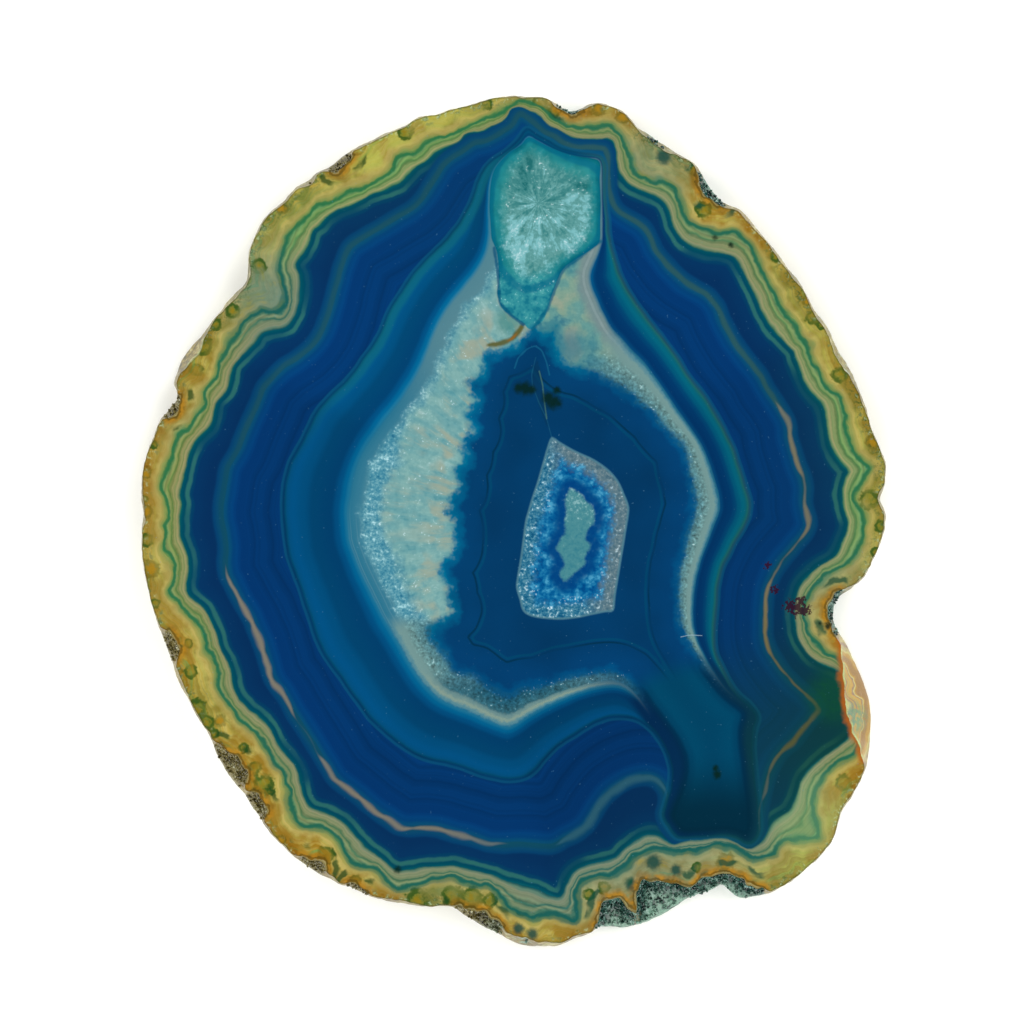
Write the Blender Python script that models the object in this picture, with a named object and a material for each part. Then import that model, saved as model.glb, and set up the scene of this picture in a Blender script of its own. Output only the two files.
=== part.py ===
"""A slice of banded agate, cut across a nodule and polished flat on both faces.

The slice lies flat: +Z is up out of the polished face, +Y runs along its length. Its origin is at the
middle of its box, on the face that it rests on. Lengths below are in millimetres.

The two faces are flat. All the relief is in the rim, the natural skin of the nodule: a wall that leans
out a little towards the resting face, lumps, small hollows lined with quartz crystals where the skin is
broken open, and one large chip with a shell-like fracture on the right.
"""
import math
import random

import bmesh
import bpy
from mathutils import Vector, noise

MM = 0.001                # metres in a millimetre
LENGTH = 125.0            # along Y
THICKNESS = 6.0           # between the polished faces
STATION_SPACING = 1.12    # between neighbouring columns of the wall, along the outline
NORMAL_REACH = 2.6        # the wall's direction is averaged over this much outline on either side
SKIN_LUMP = 0.22          # most that the skin's lumps sink into the wall
LUMP_SIZE = 2.6           # width of one lump of the skin
CRYSTAL_SIZE = 0.42       # height of the quartz points in the hollows
RIPPLE_HEIGHT = 0.16      # of the shell-like ribs on the chip
RIPPLE_SPACING = 1.5
RANDOM_SEED = 12

# The outline of the slice seen from above, anticlockwise from the top. A smooth curve runs through it.
OUTLINE = [
    (-0.3, 62.5), (-3.6, 62.1), (-6.2, 61.3), (-9.3, 60.6), (-11.1, 59.9), (-13.6, 59.5),
    (-15.9, 58.3), (-18.8, 57.1), (-21.6, 55.7), (-24.2, 54.3), (-26.8, 52.4), (-28.8, 51.4),
    (-30.0, 50.2), (-31.9, 49.1), (-34.0, 46.9), (-36.3, 44.9), (-37.9, 42.2), (-38.9, 39.4),
    (-39.1, 36.3), (-39.7, 34.9), (-41.4, 33.2), (-43.2, 30.8), (-45.8, 27.5), (-47.9, 25.2),
    (-49.3, 22.8), (-49.9, 20.4), (-49.5, 19.2), (-49.6, 18.0), (-50.8, 16.6), (-52.2, 14.3),
    (-53.4, 11.2), (-54.3, 8.1), (-54.7, 4.5), (-54.5, 1.2), (-54.7, -2.6), (-54.4, -6.2),
    (-53.9, -9.2), (-53.2, -12.3), (-52.1, -15.7), (-50.6, -19.8), (-49.3, -23.2), (-47.8, -26.3),
    (-46.2, -29.2), (-44.9, -31.2), (-44.5, -32.2), (-43.2, -35.2), (-41.0, -38.4), (-39.1, -41.0),
    (-37.5, -43.4), (-36.0, -45.5), (-33.7, -47.8), (-31.4, -50.1), (-28.8, -51.8), (-26.2, -53.0),
    (-23.7, -54.0), (-21.2, -55.1), (-18.6, -55.8), (-15.7, -56.3), (-12.6, -56.6), (-10.0, -56.6),
    (-8.6, -56.9), (-7.2, -58.0), (-4.9, -59.3), (-2.6, -60.5), (-0.2, -61.8), (2.0, -62.4),
    (4.1, -62.6), (7.2, -62.2), (9.0, -61.3), (11.5, -60.5), (12.7, -59.8), (14.6, -59.6),
    (16.4, -59.8), (19.0, -59.2), (21.1, -58.4), (23.7, -56.9), (25.5, -55.7), (28.1, -54.8),
    (29.6, -54.2), (30.6, -53.6), (31.8, -54.4), (33.5, -55.4), (35.5, -55.3), (38.1, -54.5),
    (40.4, -53.2), (42.7, -51.5), (45.2, -49.1), (47.0, -46.8), (47.9, -44.1), (48.4, -42.4),
    (50.1, -40.0), (51.8, -36.6), (52.4, -33.6), (52.6, -30.2), (52.4, -26.4), (51.4, -23.3),
    (50.1, -20.2), (48.5, -17.2), (47.3, -14.9), (47.2, -13.4), (48.0, -11.3), (50.0, -9.7),
    (51.8, -7.9), (53.1, -5.4), (54.2, -2.8), (54.8, 0.2), (54.5, 2.0), (54.1, 3.3), (54.6, 5.2),
    (54.8, 7.9), (54.1, 10.4), (52.9, 13.3), (51.9, 16.6), (50.8, 19.7), (49.6, 22.2),
    (47.9, 25.2), (46.3, 28.4), (44.4, 31.0), (42.7, 34.1), (40.4, 37.4), (37.8, 40.8),
    (35.5, 43.5), (33.5, 45.8), (31.5, 46.7), (30.0, 48.0), (28.3, 50.2), (26.8, 52.4),
    (24.9, 53.8), (22.5, 55.2), (20.8, 56.4), (18.6, 57.7), (17.4, 59.1), (16.1, 60.3),
    (13.6, 61.3), (11.3, 61.5), (9.8, 60.7), (8.7, 60.4), (7.8, 60.6), (6.1, 61.6), (4.3, 62.3),
    (1.5, 62.4),
]

# Marks along the rim: a place near the outline, how far in from it the polished face stops there, and
# how much of the wall is a crystal-lined hollow (drusy) or a chip (chipped), each from 0 to 1.
RIM_MARKS = [
    (-0.3, 62.5, 0.40, 0.0, 0.0), (-13.6, 59.5, 0.45, 0.0, 0.0), (-20.1, 56.6, 0.70, 0.1, 0.0),
    (-23.6, 54.7, 0.50, 0.0, 0.0), (-24.6, 54.0, 1.40, 1.0, 0.0), (-26.4, 52.7, 1.80, 1.0, 0.0),
    (-28.3, 51.7, 0.60, 0.2, 0.0), (-30.0, 50.2, 1.10, 0.5, 0.0), (-31.9, 49.1, 0.60, 0.0, 0.0),
    (-38.9, 39.4, 0.45, 0.0, 0.0), (-40.6, 34.1, 0.90, 0.2, 0.0), (-44.0, 29.8, 0.50, 0.0, 0.0),
    (-45.6, 27.7, 0.80, 0.0, 0.6), (-47.3, 25.8, 1.90, 0.1, 0.8), (-48.9, 23.6, 1.60, 0.0, 0.7),
    (-49.8, 21.0, 0.80, 0.0, 0.3), (-49.5, 19.0, 0.50, 0.4, 0.0), (-49.7, 17.8, 1.10, 1.0, 0.0),
    (-50.8, 16.6, 1.60, 1.0, 0.0), (-51.8, 15.1, 0.50, 0.2, 0.0), (-54.5, 6.4, 0.35, 0.0, 0.0),
    (-54.5, 1.2, 0.70, 0.5, 0.0), (-54.6, -4.6, 0.40, 0.0, 0.0), (-53.4, -11.8, 0.45, 0.0, 0.0),
    (-52.2, -15.4, 0.60, 0.1, 0.0), (-51.5, -17.3, 1.70, 1.0, 0.0), (-50.8, -19.2, 2.10, 1.0, 0.0),
    (-49.9, -21.6, 0.80, 0.3, 0.0), (-48.6, -24.7, 0.70, 0.0, 0.1), (-46.2, -29.2, 0.50, 0.0, 0.0),
    (-44.6, -31.8, 0.60, 0.2, 0.0), (-43.9, -33.8, 1.60, 0.8, 0.0), (-42.6, -36.1, 3.10, 1.0, 0.0),
    (-41.2, -38.1, 2.80, 0.9, 0.0), (-40.0, -39.8, 0.90, 0.3, 0.0), (-39.0, -41.2, 2.00, 0.9, 0.0),
    (-37.9, -42.8, 2.20, 1.0, 0.0), (-36.9, -44.4, 0.80, 0.3, 0.0), (-35.0, -46.7, 0.45, 0.0, 0.0),
    (-32.6, -48.9, 0.50, 0.1, 0.0), (-31.2, -50.2, 1.40, 0.8, 0.0), (-29.2, -51.6, 2.10, 1.0, 0.0),
    (-27.4, -52.5, 1.10, 0.4, 0.0), (-25.4, -53.3, 0.50, 0.1, 0.0), (-23.7, -54.0, 1.20, 0.9, 0.0),
    (-22.2, -54.6, 1.10, 0.9, 0.0), (-20.6, -55.2, 0.45, 0.1, 0.0), (-16.6, -56.2, 0.70, 0.2, 0.0),
    (-12.0, -56.6, 0.40, 0.0, 0.0), (-9.4, -56.7, 0.60, 0.4, 0.0), (-7.6, -57.7, 1.40, 0.9, 0.0),
    (-5.4, -59.1, 2.20, 1.0, 0.0), (-3.4, -60.2, 1.90, 0.8, 0.0), (-1.2, -61.2, 1.10, 0.3, 0.0),
    (1.6, -62.3, 1.50, 0.5, 0.0), (4.4, -62.6, 1.10, 0.2, 0.0), (7.6, -62.0, 0.60, 0.0, 0.0),
    (11.6, -60.4, 0.50, 0.0, 0.0), (12.6, -59.8, 1.20, 0.8, 0.0), (13.8, -59.7, 4.30, 1.0, 0.0),
    (15.6, -59.7, 4.90, 1.0, 0.0), (17.2, -59.7, 3.10, 0.9, 0.0), (18.6, -59.3, 2.30, 0.6, 0.0),
    (20.0, -58.9, 5.20, 1.0, 0.0), (21.6, -58.1, 6.40, 1.0, 0.0), (23.4, -57.0, 5.20, 1.0, 0.0),
    (25.2, -55.9, 3.30, 1.0, 0.0), (26.8, -55.2, 1.70, 0.7, 0.0), (28.3, -54.8, 2.60, 1.0, 0.0),
    (30.3, -53.7, 2.30, 1.0, 0.0), (32.6, -54.9, 2.70, 1.0, 0.0), (34.6, -55.4, 2.20, 1.0, 0.0),
    (36.6, -55.0, 1.50, 0.8, 0.0), (37.8, -54.6, 0.50, 0.1, 0.0), (44.0, -50.4, 0.50, 0.0, 0.0),
    (50.6, -39.2, 0.50, 0.0, 0.0), (51.8, -36.3, 0.60, 0.0, 0.3), (52.4, -33.6, 1.60, 0.0, 1.0),
    (52.6, -30.6, 3.00, 0.0, 1.0), (52.5, -27.4, 3.80, 0.0, 1.0), (52.0, -24.7, 3.70, 0.0, 1.0),
    (51.0, -22.3, 2.90, 0.0, 1.0), (49.8, -19.8, 1.90, 0.0, 1.0), (48.6, -17.4, 1.00, 0.3, 0.6),
    (47.5, -15.3, 0.90, 0.7, 0.1), (47.2, -13.6, 1.30, 0.9, 0.0), (47.9, -11.6, 1.30, 0.9, 0.0),
    (49.6, -10.1, 0.60, 0.3, 0.0), (52.6, -6.4, 0.45, 0.0, 0.0), (54.4, 1.4, 0.50, 0.1, 0.0),
    (54.1, 3.3, 0.80, 0.4, 0.0), (54.6, 5.4, 0.45, 0.0, 0.0), (52.4, 15.0, 0.45, 0.0, 0.0),
    (50.2, 21.0, 0.80, 0.3, 0.1), (48.4, 24.4, 1.10, 0.4, 0.1), (46.8, 27.4, 0.80, 0.2, 0.1),
    (43.2, 33.2, 0.45, 0.0, 0.0), (40.9, 36.7, 0.70, 0.1, 0.1), (37.0, 41.6, 0.60, 0.0, 0.1),
    (32.4, 46.4, 0.90, 0.2, 0.0), (30.6, 47.4, 1.30, 0.8, 0.0), (29.0, 49.3, 1.70, 1.0, 0.0),
    (27.8, 51.0, 0.90, 0.6, 0.0), (26.0, 53.0, 0.50, 0.1, 0.0), (22.4, 55.3, 1.10, 0.5, 0.0),
    (20.4, 56.6, 1.00, 0.5, 0.0), (18.2, 58.0, 0.60, 0.3, 0.0), (13.0, 61.4, 0.45, 0.0, 0.0),
    (10.4, 61.1, 0.70, 0.5, 0.0), (8.7, 60.4, 0.90, 0.8, 0.0), (7.0, 61.0, 0.80, 0.6, 0.0),
    (5.2, 62.0, 0.40, 0.0, 0.0),
]

# Three forms of the wall, from the resting face up to the polished face. Each pair is a share of the
# way in from the outline to the edge of the polished face, and a share of the thickness.
SKIN_WALL = [
    (0.90, 0.00), (0.30, 0.06), (0.00, 0.20), (0.00, 0.36), (0.12, 0.52),
    (0.30, 0.67), (0.52, 0.81), (0.75, 0.93), (1.00, 1.00),
]
DRUSY_WALL = [
    (0.10, 0.00), (0.02, 0.08), (0.00, 0.20), (0.10, 0.33), (0.34, 0.41),
    (0.58, 0.49), (0.80, 0.62), (0.94, 0.82), (1.00, 1.00),
]
CHIP_WALL = [
    (0.08, 0.00), (0.00, 0.07), (0.00, 0.16), (0.18, 0.27), (0.38, 0.40),
    (0.58, 0.54), (0.76, 0.68), (0.92, 0.80), (1.00, 1.00),
]
LEVELS = len(SKIN_WALL)
FIRST_SLOPE_LEVEL = 3     # the wall's slope starts here, above its upright foot


def remove_everything():
    for thing in list(bpy.data.objects):
        bpy.data.objects.remove(thing, do_unlink=True)


def smooth_loop(points, spacing):
    """Places at equal steps along a closed Catmull-Rom curve through the points."""
    fine = []
    count = len(points)
    for i in range(count):
        before, start, end, after = (Vector(points[(i + k) % count]) for k in (-1, 0, 1, 2))
        for step in range(8):
            t = step / 8
            fine.append(0.5 * (2 * start + (end - before) * t
                               + (2 * before - 5 * start + 4 * end - after) * t ** 2
                               + (3 * start - before - 3 * end + after) * t ** 3))
    lengths = [0.0]
    for i, point in enumerate(fine):
        lengths.append(lengths[-1] + (fine[(i + 1) % len(fine)] - point).length)
    stations = round(lengths[-1] / spacing)
    placed = []
    segment = 0
    for n in range(stations):
        wanted = lengths[-1] * n / stations
        while lengths[segment + 1] < wanted:
            segment += 1
        along = (wanted - lengths[segment]) / (lengths[segment + 1] - lengths[segment])
        placed.append(fine[segment].lerp(fine[(segment + 1) % len(fine)], along))
    return placed


def inward_directions(loop):
    """A unit vector into the stone at each station, smooth enough that the columns never cross."""
    reach = round(NORMAL_REACH / STATION_SPACING)
    directions = []
    for i in range(len(loop)):
        along = loop[(i + reach) % len(loop)] - loop[i - reach]
        directions.append(Vector((-along.y, along.x)).normalized())
    return directions


def rim_values(loop):
    """For each station, how far in the polished face stops, and how drusy and how chipped the wall is."""
    count = len(loop)
    marks = []
    for x, y, *values in RIM_MARKS:
        place = Vector((x, y))
        marks.append((min(range(count), key=lambda i: (loop[i] - place).length), values))
    marks.sort(key=lambda mark: mark[0])
    stations = []
    for i in range(count):
        before = max((m for m in marks if m[0] <= i), key=lambda m: m[0], default=None)
        after = min((m for m in marks if m[0] > i), key=lambda m: m[0], default=None)
        start, low = before if before else (marks[-1][0] - count, marks[-1][1])
        end, high = after if after else (marks[0][0] + count, marks[0][1])
        t = (i - start) / (end - start)
        t = t * t * (3 - 2 * t)
        stations.append([a + (b - a) * t for a, b in zip(low, high)])
    return stations


def column(place, inward, reach, drusy, chipped, draw):
    """The points of the wall at one station, from the resting face up to the polished face."""
    skin = 1 - max(drusy, chipped)
    total = skin + drusy + chipped
    points = []
    for level in range(LEVELS):
        forms = ((SKIN_WALL, skin), (DRUSY_WALL, drusy), (CHIP_WALL, chipped))
        share = sum(form[level][0] * weight for form, weight in forms) / total
        height = sum(form[level][1] * weight for form, weight in forms) / total
        inside = share * reach
        z = height * THICKNESS
        if 0 < level < LEVELS - 1:
            lump = noise.noise(Vector((place.x, place.y, z * 1.4)) / LUMP_SIZE)
            inside += SKIN_LUMP * (0.5 + lump) * (1 - 0.5 * chipped)
            if level >= FIRST_SLOPE_LEVEL:
                z += drusy * min(reach, 2.0) * draw.uniform(-0.24, 0.24)
                ripple = math.sin(2 * math.pi * inside / RIPPLE_SPACING + 0.08 * place.y)
                z += chipped * RIPPLE_HEIGHT * ripple
        spot = place + inward * inside
        points.append(Vector((spot.x, spot.y, min(max(z, 0.0), THICKNESS))))
    return points


def centre_at_length(columns):
    """Moves the wall's points so that the middle of their box is the origin and their length is LENGTH."""
    places = [point for wall in columns for point in wall]
    low = Vector((min(p.x for p in places), min(p.y for p in places)))
    high = Vector((max(p.x for p in places), max(p.y for p in places)))
    scale = LENGTH / (high.y - low.y)
    middle = (low + high) / 2
    for point in places:
        point.x = (point.x - middle.x) * scale
        point.y = (point.y - middle.y) * scale


def grow_crystals(bm, faces, draw):
    """Raises a quartz point with flat sides on each face of the hollows that is large enough."""
    for face in faces:
        size = math.sqrt(face.calc_area()) / MM
        if size > 0.55:
            height = CRYSTAL_SIZE * min(size, 1.3) * draw.uniform(0.55, 1.25)
            bmesh.ops.poke(bm, faces=[face], offset=height * MM, center_mode="MEAN_WEIGHTED")


def stone_material(name, colour, roughness):
    material = bpy.data.materials.new(name)
    material.use_nodes = True
    shader = material.node_tree.nodes["Principled BSDF"]
    shader.inputs["Base Color"].default_value = (*colour, 1.0)
    shader.inputs["Roughness"].default_value = roughness
    shader.inputs["Metallic"].default_value = 0.0
    return material


def build_slice():
    draw = random.Random(RANDOM_SEED)
    loop = smooth_loop(OUTLINE, STATION_SPACING)
    inward = inward_directions(loop)
    values = rim_values(loop)
    columns = [column(place, direction, *marks, draw)
               for place, direction, marks in zip(loop, inward, values)]
    centre_at_length(columns)

    bm = bmesh.new()
    corners_of = [[bm.verts.new(point * MM) for point in wall] for wall in columns]
    crystal_faces = []
    for i, here in enumerate(corners_of):
        following = corners_of[(i + 1) % len(corners_of)]
        drusy = min(values[i][1], values[(i + 1) % len(values)][1])
        for level in range(LEVELS - 1):
            corners = (here[level], following[level], following[level + 1], here[level + 1])
            face = bm.faces.new(corners)
            face.material_index = 1
            if drusy > 0.55 and level >= FIRST_SLOPE_LEVEL:
                crystal_faces.append(face)
    top = bm.faces.new([wall[-1] for wall in corners_of])
    bottom = bm.faces.new([wall[0] for wall in reversed(corners_of)])
    top.material_index = bottom.material_index = 0
    grow_crystals(bm, crystal_faces, draw)
    bmesh.ops.triangulate(bm, faces=bm.faces[:])

    mesh = bpy.data.meshes.new("agate_slice")
    bm.to_mesh(mesh)
    bm.free()
    mesh.materials.append(stone_material("polished_agate", (0.01, 0.10, 0.24), 0.12))
    mesh.materials.append(stone_material("agate_skin", (0.33, 0.31, 0.06), 0.45))
    stone = bpy.data.objects.new("agate_slice", mesh)
    bpy.context.scene.collection.objects.link(stone)
    return stone


def main():
    remove_everything()
    build_slice()


main()
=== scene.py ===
"""The finished look of the agate slice: its polished faces, its bands of colour, its rim and its light.

The slice is one mesh in the place of the plain solid. Every band follows a curve that is drawn on the
polished face. The mesh carries, at each of its points, how far that point lies inside each curve, and
the material turns those distances into colour. Lengths are in millimetres until the mesh is made.
"""
import math

import bpy
import numpy as np
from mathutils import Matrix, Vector, geometry, kdtree, noise


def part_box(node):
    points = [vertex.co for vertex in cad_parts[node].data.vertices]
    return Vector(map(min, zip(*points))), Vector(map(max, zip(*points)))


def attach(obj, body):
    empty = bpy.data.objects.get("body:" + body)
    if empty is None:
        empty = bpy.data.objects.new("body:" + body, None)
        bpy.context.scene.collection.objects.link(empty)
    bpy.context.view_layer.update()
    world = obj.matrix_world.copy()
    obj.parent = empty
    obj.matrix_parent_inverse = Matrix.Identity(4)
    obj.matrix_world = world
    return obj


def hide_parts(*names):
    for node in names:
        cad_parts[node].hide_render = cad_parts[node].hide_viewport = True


MM = 0.001                # metres in a millimetre
THICKNESS = 6.0
STATION_SPACING = 0.25    # between neighbouring columns of the wall
NORMAL_REACH = 2.3        # the wall's direction is averaged over this much outline on either side
TOP_SPACING = 0.5         # between the points inside the polished face
UNDERSIDE_SPACING = 1.3
POINT_SHIFT = 0.08        # most that a point inside a face is moved, as a share of the spacing
RING_GAP = 0.55           # least distance from such a point to the face's edge, as a share too
LINE_GAP = 0.2            # least distance from such a point to a thin line's points
CURVE_STEPS = 12          # finer steps between two points of a curve
CURVE_SPACING = 0.4       # between the points of a band's curve
CORNER_PASSES = 4         # times that a thin line's corners are rounded
MARK_SPACING = 0.16       # between the mesh points that carry a thin line
MARK_OFFSETS = (-0.34, -0.17, 0.0, 0.17, 0.34)    # of those points to the line's side
SKIN_LUMP = 0.22          # most that the skin's lumps sink into the wall
LUMP_SIZE = 2.6           # width of one lump of the skin
GRAIN_SHARE = 0.35        # how deep the skin's grain is beside its lumps
GRAIN_SIZE = 0.7
LEAST_REACH = 0.2         # the polished face stops at least this far in from the outline
NIBBLE = 0.16             # small irregularity of the polished face's edge
NIBBLE_SIZE = 1.1
HOLLOW_ROUGHNESS = 0.1    # random height in a hollow's slope, as a share of its reach
RIPPLE_HEIGHT = 0.16      # of the shell-like ribs on the chip
RIPPLE_SPACING = 1.5
CRYSTAL_COUNT = 1500      # quartz points in the hollows of the rim
CRYSTAL_RADIUS = (0.10, 0.24)
CRYSTAL_LENGTH = (0.25, 0.60)
CRYSTAL_ROOT = 0.25       # depth of a crystal's foot in the wall
CRYSTAL_SHOULDER = 0.55   # share of the length where the crystal's tip starts
CRYSTAL_RISE = 0.6        # how much a crystal turns up from the wall's direction
CRYSTAL_SPREAD = 0.4      # how much it turns at random
CRYSTAL_LEAN = 0.3        # most that its tip is off the middle, as a share of its radius
OUTLINE_GAP = 0.08        # a crystal's tip stays this far inside the outline
WANDER_SIZE = 2.3         # width of the small waves of the bands
WAVE_SIZE = 5.0           # width of their large waves
CLOUD_SIZE = 3.4          # width of the clouds in the stone
DRIFT_SIZE = 8.0          # width of the broad clouds
OPEN_SHARE = 0.55         # above this share the wall counts as a hollow, or as a fracture
TINT_REACH = {"rim": 3.0, "blue": 5.0, "beige": 1.5}    # how far a tint spreads from its place
FAR = {"hollow": 12.0, "line": 5.0, "spot": 4.0}        # where the distance to such a mark ends
RANDOM_SEED = 12
STONE_LIGHT = 1.5         # how bright the studio light makes a white face that looks up
QUARTZ_IOR = 1.54
FLOOR_SIZE = 4.0          # in metres, as are the lamps and the camera's height
FLOOR_LIGHT = 1.12        # how much paler the floor is than its screen colours in this light
FLOOR_GLOW = 0.27         # keeps the floor pale where the lamps are far
LAMP_SIZE = 1.5
CAMERA_OVER = (-0.22, 1.39)    # the place that the middle of the picture shows
CAMERA_HEIGHT = 0.7545
SENSOR_WIDTH = 36.0
FOCAL_LENGTH = 180.0
POLISHED, WALL, CRYSTAL = range(3)    # kinds of face

# The outline of the slice seen from above, anticlockwise from the top. A smooth curve runs through it.
OUTLINE = [
    (-0.3, 62.5), (-3.6, 62.1), (-6.2, 61.3), (-9.3, 60.6), (-11.1, 59.9), (-13.6, 59.5), (-15.9, 58.3),
    (-18.8, 57.1), (-21.6, 55.7), (-24.2, 54.3), (-26.8, 52.4), (-28.8, 51.4), (-30, 50.2), (-31.9, 49.1),
    (-34, 46.9), (-36.3, 44.9), (-37.9, 42.2), (-38.9, 39.4), (-39.1, 36.3), (-39.7, 34.9), (-41.4, 33.2),
    (-43.2, 30.8), (-45.8, 27.5), (-47.9, 25.2), (-49.3, 22.8), (-49.9, 20.4), (-49.5, 19.2), (-49.6, 18),
    (-50.8, 16.6), (-52.2, 14.3), (-53.4, 11.2), (-54.3, 8.1), (-54.7, 4.5), (-54.5, 1.2), (-54.7, -2.6),
    (-54.4, -6.2), (-53.9, -9.2), (-53.2, -12.3), (-52.1, -15.7), (-50.6, -19.8), (-49.3, -23.2),
    (-47.8, -26.3), (-46.2, -29.2), (-44.9, -31.2), (-44.5, -32.2), (-43.2, -35.2), (-41, -38.4),
    (-39.1, -41), (-37.5, -43.4), (-36, -45.5), (-33.7, -47.8), (-31.4, -50.1), (-28.8, -51.8),
    (-26.2, -53), (-23.7, -54), (-21.2, -55.1), (-18.6, -55.8), (-15.7, -56.3), (-12.6, -56.6),
    (-10, -56.6), (-8.6, -56.9), (-7.2, -58), (-4.9, -59.3), (-2.6, -60.5), (-0.2, -61.8), (2, -62.4),
    (4.1, -62.6), (7.2, -62.2), (9, -61.3), (11.5, -60.5), (12.7, -59.8), (14.6, -59.6), (16.4, -59.8),
    (19, -59.2), (21.1, -58.4), (23.7, -56.9), (25.5, -55.7), (28.1, -54.8), (29.6, -54.2), (30.6, -53.6),
    (31.8, -54.4), (33.5, -55.4), (35.5, -55.3), (38.1, -54.5), (40.4, -53.2), (42.7, -51.5), (45.2, -49.1),
    (47, -46.8), (47.9, -44.1), (48.4, -42.4), (50.1, -40), (51.8, -36.6), (52.4, -33.6), (52.6, -30.2),
    (52.4, -26.4), (51.4, -23.3), (50.1, -20.2), (48.5, -17.2), (47.3, -14.9), (47.2, -13.4), (48, -11.3),
    (50, -9.7), (51.8, -7.9), (53.1, -5.4), (54.2, -2.8), (54.8, 0.2), (54.5, 2), (54.1, 3.3), (54.6, 5.2),
    (54.8, 7.9), (54.1, 10.4), (52.9, 13.3), (51.9, 16.6), (50.8, 19.7), (49.6, 22.2), (47.9, 25.2),
    (46.3, 28.4), (44.4, 31), (42.7, 34.1), (40.4, 37.4), (37.8, 40.8), (35.5, 43.5), (33.5, 45.8),
    (31.5, 46.7), (30, 48), (28.3, 50.2), (26.8, 52.4), (24.9, 53.8), (22.5, 55.2), (20.8, 56.4),
    (18.6, 57.7), (17.4, 59.1), (16.1, 60.3), (13.6, 61.3), (11.3, 61.5), (9.8, 60.7), (8.7, 60.4),
    (7.8, 60.6), (6.1, 61.6), (4.3, 62.3), (1.5, 62.4),
]

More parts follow.
